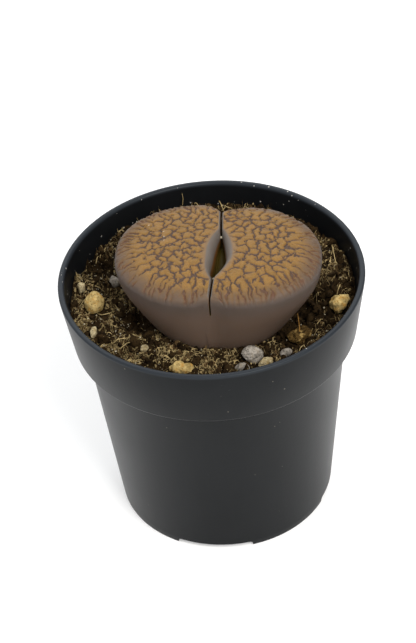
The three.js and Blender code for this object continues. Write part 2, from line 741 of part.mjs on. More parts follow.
const pottedLithops = new THREE.Group();
pottedLithops.add(makePot());
pottedLithops.add(makeSoil(STONES));
pottedLithops.add(makePlant());
STONES.forEach((stone, i) => {
  pottedLithops.add(namedMesh(stone.name, stoneSolid(stone, i, 0), stone.colour, STONE_ROUGHNESS));
});

export default pottedLithops;
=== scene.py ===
import json
from math import atan2, cos, pi, radians, sin

import bmesh
import bpy
import numpy as np
from mathutils import Euler, Matrix, Vector, noise


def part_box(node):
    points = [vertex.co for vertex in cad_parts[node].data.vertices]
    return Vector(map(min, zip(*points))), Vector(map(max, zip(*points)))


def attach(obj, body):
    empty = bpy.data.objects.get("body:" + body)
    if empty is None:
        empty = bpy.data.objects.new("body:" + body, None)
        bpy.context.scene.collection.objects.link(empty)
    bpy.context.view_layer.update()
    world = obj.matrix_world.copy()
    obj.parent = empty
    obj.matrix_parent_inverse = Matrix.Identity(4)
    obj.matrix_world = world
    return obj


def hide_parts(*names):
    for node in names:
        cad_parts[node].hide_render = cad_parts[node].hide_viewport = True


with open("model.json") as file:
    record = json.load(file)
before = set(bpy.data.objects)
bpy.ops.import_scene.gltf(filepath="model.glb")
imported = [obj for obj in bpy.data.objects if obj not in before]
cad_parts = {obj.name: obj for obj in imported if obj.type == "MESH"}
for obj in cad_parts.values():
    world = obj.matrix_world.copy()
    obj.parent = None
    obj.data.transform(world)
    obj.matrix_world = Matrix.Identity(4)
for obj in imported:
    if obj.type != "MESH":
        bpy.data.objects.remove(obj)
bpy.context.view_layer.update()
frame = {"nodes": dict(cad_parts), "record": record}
MM = 0.001

# Camera
# It looks down on the pot from the front, about 42 cm away, and leans a little to one side.
# The lens holds the pot in an upright frame of 416 by 643.
camera_data = bpy.data.cameras.new("camera")
camera_data.lens = 120.4
camera_data.sensor_width = 36.0
camera_data.clip_start = 0.01
camera_data.clip_end = 10.0
camera = bpy.data.objects.new("camera", camera_data)
camera_place = (0.0, -295.1 * MM, 294.3 * MM)
camera_yaw = radians(-0.2417)
camera_pitch = radians(40.896)
camera_roll = radians(-4.762)
ahead = Vector((sin(camera_yaw) * cos(camera_pitch), cos(camera_yaw) * cos(camera_pitch), -sin(camera_pitch)))
level = Vector((cos(camera_yaw), -sin(camera_yaw), 0.0))
upright = level.cross(ahead)
camera_x = cos(camera_roll) * level + sin(camera_roll) * upright
camera_y = cos(camera_roll) * upright - sin(camera_roll) * level
camera_turn = Matrix((camera_x, camera_y, -ahead)).transposed().to_4x4()
camera.matrix_world = Matrix.Translation(camera_place) @ camera_turn
bpy.context.scene.collection.objects.link(camera)
bpy.context.scene.camera = camera

# Pot
# One thin-walled round nursery pot with a flared collar, injection moulded in satin charcoal
# plastic. It stands on a foot ring that four low arches break, and has four drain holes.
POT_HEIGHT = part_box("pot")[1].z
RIM_RADIUS = (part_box("pot")[1].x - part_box("pot")[0].x) / 2
COLLAR_Z = 38 * MM
COLLAR_RADIUS = 25.76 * MM
BODY_TOP_RADIUS = 23.88 * MM
BASE_RADIUS = 20.03 * MM
WALL = 1.1 * MM
FLOOR_UNDERSIDE = 1.3 * MM
FLOOR_TOP = 2.3 * MM
FOOT_WIDTH = 1.8 * MM
ARCH_HEIGHT = 1.05 * MM
ARCH_WIDTH = 14 * MM
ARCH_ROUNDING = 0.6 * MM
ARCH_CLEAR_Z = 1.6 * MM
ARCH_ANGLES = [radians(-99.5 + 90 * turn) for turn in range(4)]
DRAIN_HOLE_RADIUS = 2.4 * MM
DRAIN_HOLE_CIRCLE = 11.5 * MM
DRAIN_HOLE_DEPTH = 6 * MM
POT_STEPS = 144


def feed(tree, made, inputs):
    """Gives a shader node its inputs, as values or as other nodes' outputs."""
    for name, value in inputs.items():
        if isinstance(value, bpy.types.NodeSocket):
            tree.links.new(value, made.inputs[name])
        else:
            made.inputs[name].default_value = value


def node(tree, kind, inputs, **settings):
    """A new shader node with its settings and inputs."""
    made = tree.nodes.new(kind)
    for name, value in settings.items():
        setattr(made, name, value)
    feed(tree, made, inputs)
    return made


def mixed(tree, share, first, second):
    """The colour between two colours, each a node's output or its red, green and blue."""
    inputs = {0: share}
    for place, colour in {6: first, 7: second}.items():
        inputs[place] = colour if isinstance(colour, bpy.types.NodeSocket) else (*colour, 1)
    return node(tree, "ShaderNodeMix", inputs, data_type="RGBA").outputs[2]


def eased(tree, value, low, high):
    """0 below one value, 1 above another, smooth between."""
    limits = {"Value": value, "From Min": low, "From Max": high}
    return node(tree, "ShaderNodeMapRange", limits, interpolation_type="SMOOTHSTEP").outputs[0]


def worked(tree, operation, first, second):
    """The result of one sum."""
    return node(tree, "ShaderNodeMath", {0: first, 1: second}, operation=operation).outputs[0]


def added(tree, base, extra, share):
    """A value with a share of another added to it."""
    return worked(tree, "ADD", base, worked(tree, "MULTIPLY", extra, share))


def tinged(tree, colour, mask, strength, tint):
    """A colour with so much of a tint laid over it where a mask says."""
    return mixed(tree, worked(tree, "MULTIPLY", mask, strength), colour, tint)


def noised(tree, place, size, detail=3.0, roughness=0.5):
    """Noise with features of a size in metres, from 0 to 1."""
    inputs = {"Vector": place, "Scale": 1 / size, "Detail": detail, "Roughness": roughness}
    return node(tree, "ShaderNodeTexNoise", inputs).outputs[0]


def bumped(tree, height, distance, strength):
    """The normal of a surface with a height pressed into it, over a distance in metres."""
    inputs = {"Height": height, "Distance": distance, "Strength": strength}
    return node(tree, "ShaderNodeBump", inputs).outputs[0]


def new_material(name):
    """A material with its tree, its Principled shader and the object's own coordinates."""
    material = bpy.data.materials.new(name)
    material.use_nodes = True
    tree = material.node_tree
    shader = tree.nodes["Principled BSDF"]
    place = tree.nodes.new("ShaderNodeTexCoord").outputs["Object"]
    return material, tree, shader, place


def new_effect(name, values, results):
    """A shader node group that takes a place and named values, and gives named results."""
    group = bpy.data.node_groups.new(name, "ShaderNodeTree")
    group.interface.new_socket("Place", in_out="INPUT", socket_type="NodeSocketVector")
    for value in values:
        group.interface.new_socket(value, in_out="INPUT", socket_type="NodeSocketFloat")
    for result in results:
        group.interface.new_socket(result, in_out="OUTPUT", socket_type="NodeSocketFloat")
    return group, group.nodes.new("NodeGroupInput").outputs, group.nodes.new("NodeGroupOutput").inputs


def speck_effect():
    """Scattered grains of dust: a mask of small round specks, in a share of the cells of a spacing."""
    group, given, result = new_effect("scattered_specks", ("Spacing", "Share"), ("Mask",))
    scale = worked(group, "DIVIDE", 1.0, given["Spacing"])
    cells = node(group, "ShaderNodeTexVoronoi", {"Vector": given["Place"], "Scale": scale})
    chance = node(group, "ShaderNodeSeparateColor", {"Color": cells.outputs["Color"]}).outputs
    kept = worked(group, "LESS_THAN", chance[0], given["Share"])
    radius = added(group, 0.02, chance[1], 0.14)
    inside = worked(group, "LESS_THAN", cells.outputs["Distance"], radius)
    group.links.new(worked(group, "MULTIPLY", kept, inside), result["Mask"])
    return group


scattered_specks = speck_effect()


def specked(tree, place, spacing, share):
    """The mask of the specks, for one material."""
    inputs = {"Place": place, "Spacing": spacing, "Share": share}
    return node(tree, "ShaderNodeGroup", inputs, node_tree=scattered_specks).outputs["Mask"]


def pot_plastic():
    """Cloudy, faintly streaked charcoal, scuffed, with a painted reflection of the sky that makes the lip
    paler and bluer, and dusty inside the collar.
    """
    material, tree, shader, place = new_material("charcoal_plastic")
    broad = noised(tree, place, 14 * MM)
    fine = noised(tree, place, 0.6 * MM, 4.0)
    drawn = node(tree, "ShaderNodeMapping", {"Vector": place, "Scale": (1.0, 1.0, 0.04)}).outputs[0]
    streaks = noised(tree, drawn, 1.1 * MM)
    spot = node(tree, "ShaderNodeSeparateXYZ", {"Vector": place}).outputs
    clouds = eased(tree, broad, 0.35, 0.65)
    charcoal = mixed(tree, clouds, (0.0036, 0.0040, 0.0046), (0.0055, 0.0060, 0.0068))
    charcoal = tinged(tree, charcoal, streaks, 0.35, (0.0085, 0.0090, 0.0098))
    # Painted reflection: the lip is tinted paler and bluer, as if it mirrored the bright sky.
    lip = eased(tree, spot["Z"], POT_HEIGHT - 0.8 * MM, POT_HEIGHT - 0.2 * MM)
    charcoal = tinged(tree, charcoal, lip, 0.8, (0.024, 0.028, 0.034))
    scratch_turn = {"Vector": place, "Rotation": (0.5, 0.9, 0.4), "Scale": (1.0, 9.0, 1.6)}
    scratched = node(tree, "ShaderNodeMapping", scratch_turn).outputs[0]
    scuffs = eased(tree, noised(tree, scratched, 1.6 * MM, 5.0, 0.65), 0.66, 0.74)
    scuffs = worked(tree, "MULTIPLY", scuffs, eased(tree, broad, 0.45, 0.6))
    charcoal = tinged(tree, charcoal, scuffs, 0.35, (0.075, 0.078, 0.08))

    # Dust lies thicker and paler within the collar, inwards of the middle of its wall
    flat = node(tree, "ShaderNodeCombineXYZ", {"X": spot["X"], "Y": spot["Y"]}).outputs[0]
    out = node(tree, "ShaderNodeVectorMath", {"Vector": flat}, operation="LENGTH").outputs["Value"]
    flare = (RIM_RADIUS - COLLAR_RADIUS) / (POT_HEIGHT - COLLAR_Z)
    up_collar = worked(tree, "SUBTRACT", spot["Z"], COLLAR_Z)
    wall_middle = added(tree, COLLAR_RADIUS - WALL / 2, up_collar, flare)
    within = worked(tree, "LESS_THAN", out, wall_middle)
    within = worked(tree, "MULTIPLY", within, worked(tree, "GREATER_THAN", spot["Z"], COLLAR_Z + 3 * MM))
    specks = specked(tree, place, 1.0 * MM, added(tree, 0.03, within, 0.5))
    dust = mixed(tree, within, (0.19, 0.17, 0.14), (0.60, 0.57, 0.52))

    scuffed = added(tree, added(tree, 0.30, broad, 0.12), scuffs, 0.2)
    feed(tree, shader, {
        "Base Color": tinged(tree, charcoal, specks, 0.6, dust),
        "Roughness": added(tree, scuffed, specks, 0.4),
        "Specular IOR Level": 0.12,
        "Specular Tint": (0.90, 0.97, 1.0, 1),
        "Normal": bumped(tree, added(tree, fine, specks, 2.0), 0.02 * MM, 0.35),
    })
    return material


def body_radius(z):
    """The outside of the pot's body at a height."""
    return BASE_RADIUS + (BODY_TOP_RADIUS - BASE_RADIUS) * z / COLLAR_Z


def collar_radius(z):
    """The outside of the pot's collar at a height."""
    return COLLAR_RADIUS + (RIM_RADIUS - COLLAR_RADIUS) * (z - COLLAR_Z) / (POT_HEIGHT - COLLAR_Z)


def mesh_of(bm, name):
    """Ends a bmesh as a mesh."""
    mesh = bpy.data.meshes.new(name)
    bm.to_mesh(mesh)
    bm.free()
    return mesh


def linked_object(name, mesh):
    thing = bpy.data.objects.new(name, mesh)
    bpy.context.scene.collection.objects.link(thing)
    return thing


def finished_piece(name, mesh, material, sharp_angle=180):
    """An object of one material, shaded smooth except at edges sharper than an angle."""
    mesh.polygons.foreach_set("use_smooth", [True] * len(mesh.polygons))
    if sharp_angle < 180:
        mesh.set_sharp_from_angle(angle=radians(sharp_angle))
    mesh.materials.clear()
    mesh.materials.append(material)
    return linked_object(name, mesh)


def rounded_ring(bm, radius, z, offset, segments):
    """Bevels the ring of edges at a radius and a height."""

    def on_ring(vert):
        off = abs(vert.co.xy.length - radius) + abs(vert.co.z - z)
        return off < 0.01 * MM

    ring = [edge for edge in bm.edges if on_ring(edge.verts[0]) and on_ring(edge.verts[1])]
    bmesh.ops.bevel(
        bm, geom=ring, offset=offset, segments=segments, profile=0.5, affect="EDGES", material=-1
    )


def turned_from(angle, edge):
    """How far an edge's middle lies round the pot from an angle."""
    middle = (edge.verts[0].co + edge.verts[1].co) / 2
    return (atan2(middle.y, middle.x) - angle + pi) % (2 * pi) - pi


def pot_cutters():
    """Four rounded arches and four drain holes, to be cut out of the spun pot."""
    bm = bmesh.new()
    for angle in ARCH_ANGLES:
        turn = Matrix.Rotation(angle, 4, "Z")
        arch = bmesh.ops.create_cube(bm, size=1)["verts"]
        bmesh.ops.scale(bm, verts=arch, vec=(3 * FOOT_WIDTH, ARCH_WIDTH, 2 * ARCH_HEIGHT))
        bmesh.ops.translate(bm, verts=arch, vec=(BASE_RADIUS - FOOT_WIDTH / 2, 0, 0))
        bmesh.ops.transform(bm, verts=arch, matrix=turn)
        upper = {vert for vert in arch if vert.co.z > 0}
        top_edges = [edge for edge in bm.edges if set(edge.verts) <= upper]
        shoulders = [edge for edge in top_edges if abs(turned_from(angle, edge)) > 0.2]
        bmesh.ops.bevel(
            bm, geom=shoulders, offset=ARCH_ROUNDING, segments=4, profile=0.5, affect="EDGES", material=-1
        )
        bmesh.ops.create_cone(
            bm, cap_ends=True, segments=40, radius1=DRAIN_HOLE_RADIUS, radius2=DRAIN_HOLE_RADIUS,
            depth=DRAIN_HOLE_DEPTH, matrix=turn @ Matrix.Translation((DRAIN_HOLE_CIRCLE, 0, FLOOR_UNDERSIDE)),
        )
    return linked_object("pot_cutters", mesh_of(bm, "pot_cutters"))


def make_pot():
    bend_z = COLLAR_Z - 0.7 * MM
    inner_step_z = COLLAR_Z + 1.2 * MM
    profile = [
        (0, FLOOR_UNDERSIDE),
        (BASE_RADIUS - FOOT_WIDTH, FLOOR_UNDERSIDE),
        (BASE_RADIUS - FOOT_WIDTH, 0),
        (BASE_RADIUS, 0),
        (body_radius(ARCH_CLEAR_Z), ARCH_CLEAR_Z),
        (body_radius(bend_z), bend_z),
        (COLLAR_RADIUS, COLLAR_Z),
        (RIM_RADIUS, POT_HEIGHT),
        (RIM_RADIUS - WALL, POT_HEIGHT),
        (collar_radius(inner_step_z) - WALL, inner_step_z),
        (BODY_TOP_RADIUS - WALL, COLLAR_Z - 0.5 * MM),
        (body_radius(FLOOR_TOP) - WALL, FLOOR_TOP),
        (0, FLOOR_TOP),
    ]
    bm = bmesh.new()
    verts = [bm.verts.new((radius, 0, z)) for radius, z in profile]
    edges = [bm.edges.new(pair) for pair in zip(verts, verts[1:])]
    bmesh.ops.spin(
        bm, geom=verts + edges, axis=(0, 0, 1), angle=2 * pi, steps=POT_STEPS, use_merge=True
    )
    bmesh.ops.remove_doubles(bm, verts=bm.verts, dist=0.001 * MM)
    bmesh.ops.recalc_face_normals(bm, faces=bm.faces)

    # The corners that are rounded, by their place in the profile: offset in millimetres, segments
    rounded = {
        3: (0.2, 3), 5: (0.6, 4), 6: (0.45, 5), 7: (0.42, 5),
        8: (0.42, 5), 9: (0.8, 3), 10: (0.8, 3), 11: (0.9, 4),
    }
    for place, (offset, segments) in rounded.items():
        rounded_ring(bm, *profile[place], offset * MM, segments)
    blank = linked_object("pot_blank", mesh_of(bm, "nursery_pot"))
    cutters = pot_cutters()
    cut = blank.modifiers.new("arches_and_holes", "BOOLEAN")
    cut.operation = "DIFFERENCE"
    cut.solver = "EXACT"
    cut.object = cutters
    cut_blank = blank.evaluated_get(bpy.context.evaluated_depsgraph_get())
    mesh = bpy.data.meshes.new_from_object(cut_blank)
    bpy.data.objects.remove(cutters)
    bpy.data.objects.remove(blank)
    pot = finished_piece("nursery_pot", mesh, pot_plastic(), 38)
    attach(pot, "root")
    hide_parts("pot")


make_pot()

# Leaf pair
# One lithops: two thick leaves fused into a cone, whose flat tops show a sunken net of dark lines
# round ochre islands. A slit parts the tops and opens to an eye with smooth lips and a floor painted
# green as light glowing through the leaf.
PLANT_X = 1.45
PLANT_Y = -1.4
PLANT_TURN = radians(-6)
FACE_RIM_Z = 56.1
FACE_DOME = 1.7
FACE_HALF_WIDTH = 17.2
FACE_HALF_DEPTH = 13.1
OUTLINE_POWER = 2.3
LOBE_SHEAR = -0.045
BACK_NOTCH = 2.4
FRONT_NOTCH = 0.8
# Half width, half depth and height down the side
SIDE_PROFILE = np.array([
    (17.2, 13.1, 56.1), (17.8, 13.5, 55.7), (18.15, 13.7, 55.1), (18.3, 13.8, 54.2), (17.7, 13.6, 51.6),
    (15.5, 13.0, 48.0), (12.6, 12.1, 44.0), (9.4, 9.6, 40.2), (5.4, 5.6, 36.0),
    (2.4, 2.4, 32.0), (1.5, 1.5, 25.0), (0.6, 0.6, 12.0),
])
SLIT_HALF_WIDTH = 0.17
SLIT_LIP_WIDTH = 0.3
SLIT_LIP_DROP = 0.35
SLIT_FLOOR_Z = 52.2
SLIT_FLOOR_RISE = 1.7
SLIT_FLOOR_HOLLOW = 0.25
SLIT_NARROWING = 0.75
SLIT_FRONT_X = -0.45
SLIT_BACK_X = 0.5
EYE_CENTRE = -2.3
EYE_HALF_LENGTH = 5.7
EYE_HALF_WIDTH = 1.08
EYE_FLOOR_CROWN = 0.35
LIP_HALF_LENGTH = 7.0
LIP_HALF_WIDTH = 2.4
LIP_DROP = 1.7
# Shares of the columns across the slit
FLOOR_SHARE = 0.2
WALL_SHARE = 0.35
LIP_SHARE = 0.45
NET_CELL = 1.62
NET_DEPTH = 0.26
NET_CORNER = 0.07
NET_TRIALS = 9000
NET_NEIGHBOURS = 5
NET_FAR = 9.0
NET_BATCH = 8000
NET_LOWEST_Z = 53.5
NET_SEED = 11
WAVE_SEED = 5
LOBE_COLUMNS = 118
SLIT_COLUMNS = 14
FACE_ROWS = 196
SIDE_RINGS = 36
SIDE_SPREAD = 2.2


def smooth(low, high, value):
    share = np.clip((value - low) / (high - low), 0, 1)
    return share * share * (3 - 2 * share)


def between(low, high, share):
    return low + (high - low) * share


def scrambled(number):
    """A random share from 0 to 1 for a number, the same one each time."""
    wave = np.sin(number) * 43758.5453
    return wave - np.floor(wave)


def slit_x(y):
    """The slit's sideways place: it crosses over along the eye and drifts off towards both ends."""
    crossing = between(SLIT_FRONT_X, SLIT_BACK_X, smooth(-9, -2.5, y))
    return crossing - 0.08 * np.maximum(0, -9.5 - y) - 0.04 * np.maximum(0, y - 4)


def eye_share(y, half_length):
    """How far the eye, or its lips, has opened at a place along the slit, from 0 to 1."""
    along = (y - EYE_CENTRE) / half_length
    return np.maximum(0, 1 - along * along) ** 0.9


def from_lip(x, y):
    """How far a place on the faces is from the outer edge of the eye's lip."""
    return np.abs(x - slit_x(y)) - LIP_HALF_WIDTH * eye_share(y, LIP_HALF_LENGTH)


def notched(x, y, half_depth, scale):
    """The lobes are sheared a little and drawn in where the slit leaves the outline."""
    share = np.abs(y / half_depth) ** 3
    aside = x - slit_x(y)
    back = BACK_NOTCH * np.exp(-np.abs(aside) / np.where(aside < 0, 1.3, 3.4))
    front = FRONT_NOTCH * np.exp(-((aside / 2.6) ** 2))
    return y + scale * (LOBE_SHEAR * x + np.where(y > 0, -back, front) * share)


def profile_at(share):
    """Half width, half depth and height along the side, from the face's rim to the root's tip."""
    last = len(SIDE_PROFILE) - 1
    place = np.clip(share, 0, 1) * last
    first = np.minimum(place.astype(int), last - 1)
    onward = (place - first)[:, None]
    before, here, there, after = (SIDE_PROFILE[np.clip(first + k, 0, last)] for k in (-1, 0, 1, 2))
    bend = 2 * before - 5 * here + 4 * there - after + onward * (3 * (here - there) + after - before)
    return (here + 0.5 * onward * (there - before + onward * bend)).T


def share_at_height(z, lowest_share=1):
    """The share of the side's profile at a height, down to a lowest one."""
    shares = np.linspace(0, lowest_share, int(400 * lowest_share))
    return np.interp(-z, -profile_at(shares)[2], shares)


def outline_power(z):
    """The outline is round at the neck and squarer above it."""
    return between(2, OUTLINE_POWER, smooth(36, 44, z))


def outline_scale(across, along, power):
    """What brings a direction on the round pattern to the squarer outline of the leaves."""
    radius = np.hypot(across, along)
    squared = (np.abs(across) ** power + np.abs(along) ** power) ** (1 / power)
    return np.where(radius > 1e-9, radius / np.maximum(squared, 1e-9), 1)


def slit_section(in_slit, y_face, face_top):
    """Half width and height across the slit, from its middle to the outer edge of its lip: floor,
    wall and rounded lip, each a share of its columns."""
    wider_in_front = between(1.2, 0.75, smooth(-7.5, 1.5, y_face))
    inner = SLIT_HALF_WIDTH + EYE_HALF_WIDTH * eye_share(y_face, EYE_HALF_LENGTH) * wider_in_front
    lip_share = eye_share(y_face, LIP_HALF_LENGTH)
    lip = SLIT_HALF_WIDTH + np.maximum(SLIT_LIP_WIDTH, LIP_HALF_WIDTH * lip_share)
    opened = smooth(0, 0.7, eye_share(y_face, EYE_HALF_LENGTH))
    drop = between(SLIT_LIP_DROP, LIP_DROP, smooth(0, 0.5, lip_share))
    floor_edge_z = SLIT_FLOOR_Z + SLIT_FLOOR_RISE * smooth(-5, 4, y_face) + SLIT_FLOOR_HOLLOW
    lip_start = FLOOR_SHARE + WALL_SHARE
    lip_turn = np.clip((in_slit - lip_start) / LIP_SHARE, 0, 1) * pi / 2
    down_wall = np.clip((lip_start - in_slit) / WALL_SHARE, 0, 1)
    on_floor = np.clip((FLOOR_SHARE - in_slit) / FLOOR_SHARE, 0, 1)
    width = lip - (lip - inner) * np.cos(lip_turn)
    width = np.where(in_slit < lip_start, inner * between(1, SLIT_NARROWING, down_wall), width)
    floor_width = inner * SLIT_NARROWING * np.sin((1 - on_floor) * pi / 2)
    width = np.where(in_slit < FLOOR_SHARE, floor_width, width)
    z = face_top - drop * (1 - np.sin(lip_turn))
    z = np.where(in_slit < lip_start, between(face_top - drop, floor_edge_z, down_wall), z)
    hollow = between(SLIT_FLOOR_HOLLOW, -EYE_FLOOR_CROWN, opened) * np.sin(on_floor * pi / 2)
    return width, np.where(in_slit < FLOOR_SHARE, floor_edge_z - hollow, z)


def leaf_pair_points(pattern):
    """Bends the flat pattern onto the leaf pair. The pattern is a square for the faces and, below
    it, one ring after another for the side. Returns the places and what the skin has to know."""
    columns = np.abs(pattern[:, 0]) * (SLIT_COLUMNS + LOBE_COLUMNS)
    hand = np.sign(pattern[:, 0])
    in_slit = np.clip(columns / SLIT_COLUMNS, 0, 1)
    over_lobe = np.clip((columns - SLIT_COLUMNS) / LOBE_COLUMNS, 0, 1)
    row = pattern[:, 1]
    ring = -pattern[:, 2] / SIDE_RINGS
    across = hand * over_lobe * np.sqrt(1 - row * row / 2)
    along = row * np.sqrt(1 - over_lobe * over_lobe / 2)
    rho = np.hypot(across, along)
    scale = outline_scale(across, along, OUTLINE_POWER)
    dome = 1 - 0.8 * np.minimum(rho, 1) ** 2.2 - 0.2 * np.minimum(rho, 1) ** 14
    width, z = slit_section(in_slit, along * scale * FACE_HALF_DEPTH, FACE_RIM_Z + FACE_DOME * dome)
    width = between(width, SIDE_SPREAD * in_slit, smooth(0, 0.3, ring))

    # The side starts lower where the slit runs out through it
    start = np.where(in_slit < 1, share_at_height(z, 0.5), 0)
    half_width, half_depth, side_z = profile_at(start + (1 - start) * ring ** 1.6)
    on_side = ring > 0
    side_scale = outline_scale(across, along, outline_power(side_z))
    reach = np.where(on_side, side_scale, scale)
    x = across * reach * half_width
    y = along * reach * half_depth
    x += (1 - over_lobe) * (slit_x(y) + hand * width) * smooth(1.0, 0.9, ring)
    z = np.where(on_side, side_z, z)
    notch = smooth(40, 55, np.where(on_side, side_z, np.minimum(z, FACE_RIM_Z)))
    facts = {"x": x, "y": y, "rho": rho, "in_slit": in_slit, "ring": ring}
    return np.stack([x, notched(x, y, half_depth, notch), z], 1), facts


def waved(x, y, size, reach, shift):
    """Moves points about by a smooth noise with features of a size."""
    noise.seed_set(WAVE_SEED)
    moves = [noise.noise_vector(Vector((a / size, b / size, shift))) for a, b in zip(x, y)]
    moves = np.array(moves) * reach
    return x + moves[:, 0], y + moves[:, 1]


def net_frame(x, y):
    """The way the islands point, and how much they are drawn out: outwards at the rim, across the
    slit beside the eye."""
    out_x = np.sign(x) * np.abs(x / FACE_HALF_WIDTH) ** (OUTLINE_POWER - 1) / FACE_HALF_WIDTH
    out_y = np.sign(y) * np.abs(y / FACE_HALF_DEPTH) ** (OUTLINE_POWER - 1) / FACE_HALF_DEPTH
    length = np.maximum(np.hypot(out_x, out_y), 1e-9)
    rho = np.abs(x / FACE_HALF_WIDTH) ** OUTLINE_POWER + np.abs(y / FACE_HALF_DEPTH) ** OUTLINE_POWER
    rho = rho ** (1 / OUTLINE_POWER)
    by_eye = smooth(3.2, 1.0, from_lip(x, y)) * smooth(0, 0.5, eye_share(y, LIP_HALF_LENGTH + 1))
    way_x = between(out_x / length, 1.0, by_eye)
    way_y = between(out_y / length, 0.0, by_eye)
    length = np.maximum(np.hypot(way_x, way_y), 1e-9)
    stretch = 1 + 2.0 * smooth(0.7, 0.95, rho) + 0.7 * by_eye
    return way_x / length, way_y / length, stretch, rho


def net_sites(random, cell):
    """Islands of the net: random places that keep their distance."""
    sites = np.zeros((0, 2))
    for trial in random.uniform(-1.06, 1.06, (NET_TRIALS, 2)) * (FACE_HALF_WIDTH, FACE_HALF_DEPTH):
        way_x, way_y, stretch, rho = net_frame(trial[:1], trial[1:])
        if rho[0] > 1.07:
            continue
        away = sites - trial
        outward = away @ np.array([way_x[0], way_y[0]])
        sideways = away @ np.array([-way_y[0], way_x[0]])
        narrowed = between(1, 0.58, smooth(0.68, 0.95, rho))
        near = np.hypot(outward / stretch, sideways) < cell * 0.82 * narrowed
        if not near.any():
            sites = np.vstack([sites, trial])
    return sites


def net_lines(x, y, sites, dropped, seed):
    """How far each point is from the middle of the nearest line, and the number of its island."""
    if len(x) > NET_BATCH:
        later = net_lines(x[NET_BATCH:], y[NET_BATCH:], sites, dropped, seed)
        first = net_lines(x[:NET_BATCH], y[:NET_BATCH], sites, dropped, seed)
        return tuple(np.concatenate(pair) for pair in zip(first, later))
    way_x, way_y, stretch, _ = net_frame(x, y)
    from_x = x[:, None] - sites[:, 0]
    from_y = y[:, None] - sites[:, 1]
    outward = way_x[:, None] * from_x + way_y[:, None] * from_y
    sideways = way_x[:, None] * from_y - way_y[:, None] * from_x
    squared = (outward / stretch[:, None]) ** 2 + sideways ** 2
    order = np.argpartition(squared, NET_NEIGHBOURS, axis=1)[:, :NET_NEIGHBOURS + 1]
    ranked = np.take_along_axis(order, np.argsort(np.take_along_axis(squared, order, 1), axis=1), 1)
    rows = np.arange(len(x))
    island = ranked[:, 0]
    nearest = np.full(len(x), NET_FAR)
    total = np.zeros(len(x))
    for place in range(1, NET_NEIGHBOURS + 1):
        other = ranked[:, place]
        apart = sites[other] - sites[island]
        along = (way_x * apart[:, 0] + way_y * apart[:, 1]) / stretch ** 2
        beside = way_x * apart[:, 1] - way_y * apart[:, 0]
        steepness = np.maximum(np.hypot(along, beside), 1e-6)
        distance = (squared[rows, other] - squared[rows, island]) / (2 * steepness)
        low = np.minimum(island, other)
        high = np.maximum(island, other)
        chance = scrambled(low * 12.9898 + high * 78.233 + seed)
        crossing = np.abs(along) * stretch / steepness
        drop = dropped + 0.5 * crossing * smooth(1.3, 2.2, stretch)
        distance = np.where(chance < drop, NET_FAR, distance)
        total += np.exp(-distance / NET_CORNER)
        nearest = np.minimum(nearest, distance)
    rounded = -NET_CORNER * np.log(np.maximum(total, 1e-30))
    return np.where(total > 0, rounded, nearest), island


def noise_at(x, y, size, layer):
    """Smooth noise at places, from -1 to 1, with features of a size."""
    return np.array([noise.noise(Vector((a / size, b / size, layer))) for a, b in zip(x, y)])


def net_on_faces(x, y, down):
    """The net at points of the faces: the distance to the edge of the nearest line, less than
    zero within it, a tone for each island, and how near the point is to the rim and to the eye."""
    random = np.random.default_rng(NET_SEED)
    bent_x, bent_y = waved(x, y, 1.5, 0.5, 0.0)
    bent_x, bent_y = waved(bent_x, bent_y, 0.65, 0.30, 7.0)
    bent_x, bent_y = waved(bent_x, bent_y, 0.3, 0.07, 5.0)
    main_sites = net_sites(random, NET_CELL)
    main, island = net_lines(bent_x, bent_y, main_sites, 0.1, 0.0)
    spurs, _ = net_lines(bent_x, bent_y, net_sites(random, NET_CELL * 0.46), 0.3, 4.0)
    thickness = noise_at(x, y, 1.3, 3.0)
    spur_here = noise_at(x, y, 0.9, 9.0)
    _, _, _, rho = net_frame(x, y)
    by_eye = smooth(0, 0.4, eye_share(y, LIP_HALF_LENGTH + 1)) * smooth(1.1, 0.1, from_lip(x, y))
    fading = smooth(2.1, 0.5, down)
    half = (0.09 + 0.09 * thickness) * between(1, 0.6, by_eye)
    near_line = smooth(0.85 + 0.55 * spur_here, 0.1, main)
    spurs = spurs + 0.3 - (0.40 + 0.03 * smooth(0.75, 0.95, rho)) * near_line * fading + 0.06 * by_eye
    main = main - half * fading + 0.25 * (1 - fading) + 0.15 * by_eye * smooth(-0.2, 0.3, thickness)
    tone = random.random(len(main_sites))[island]
    return np.minimum(main, spurs), tone, rho, by_eye


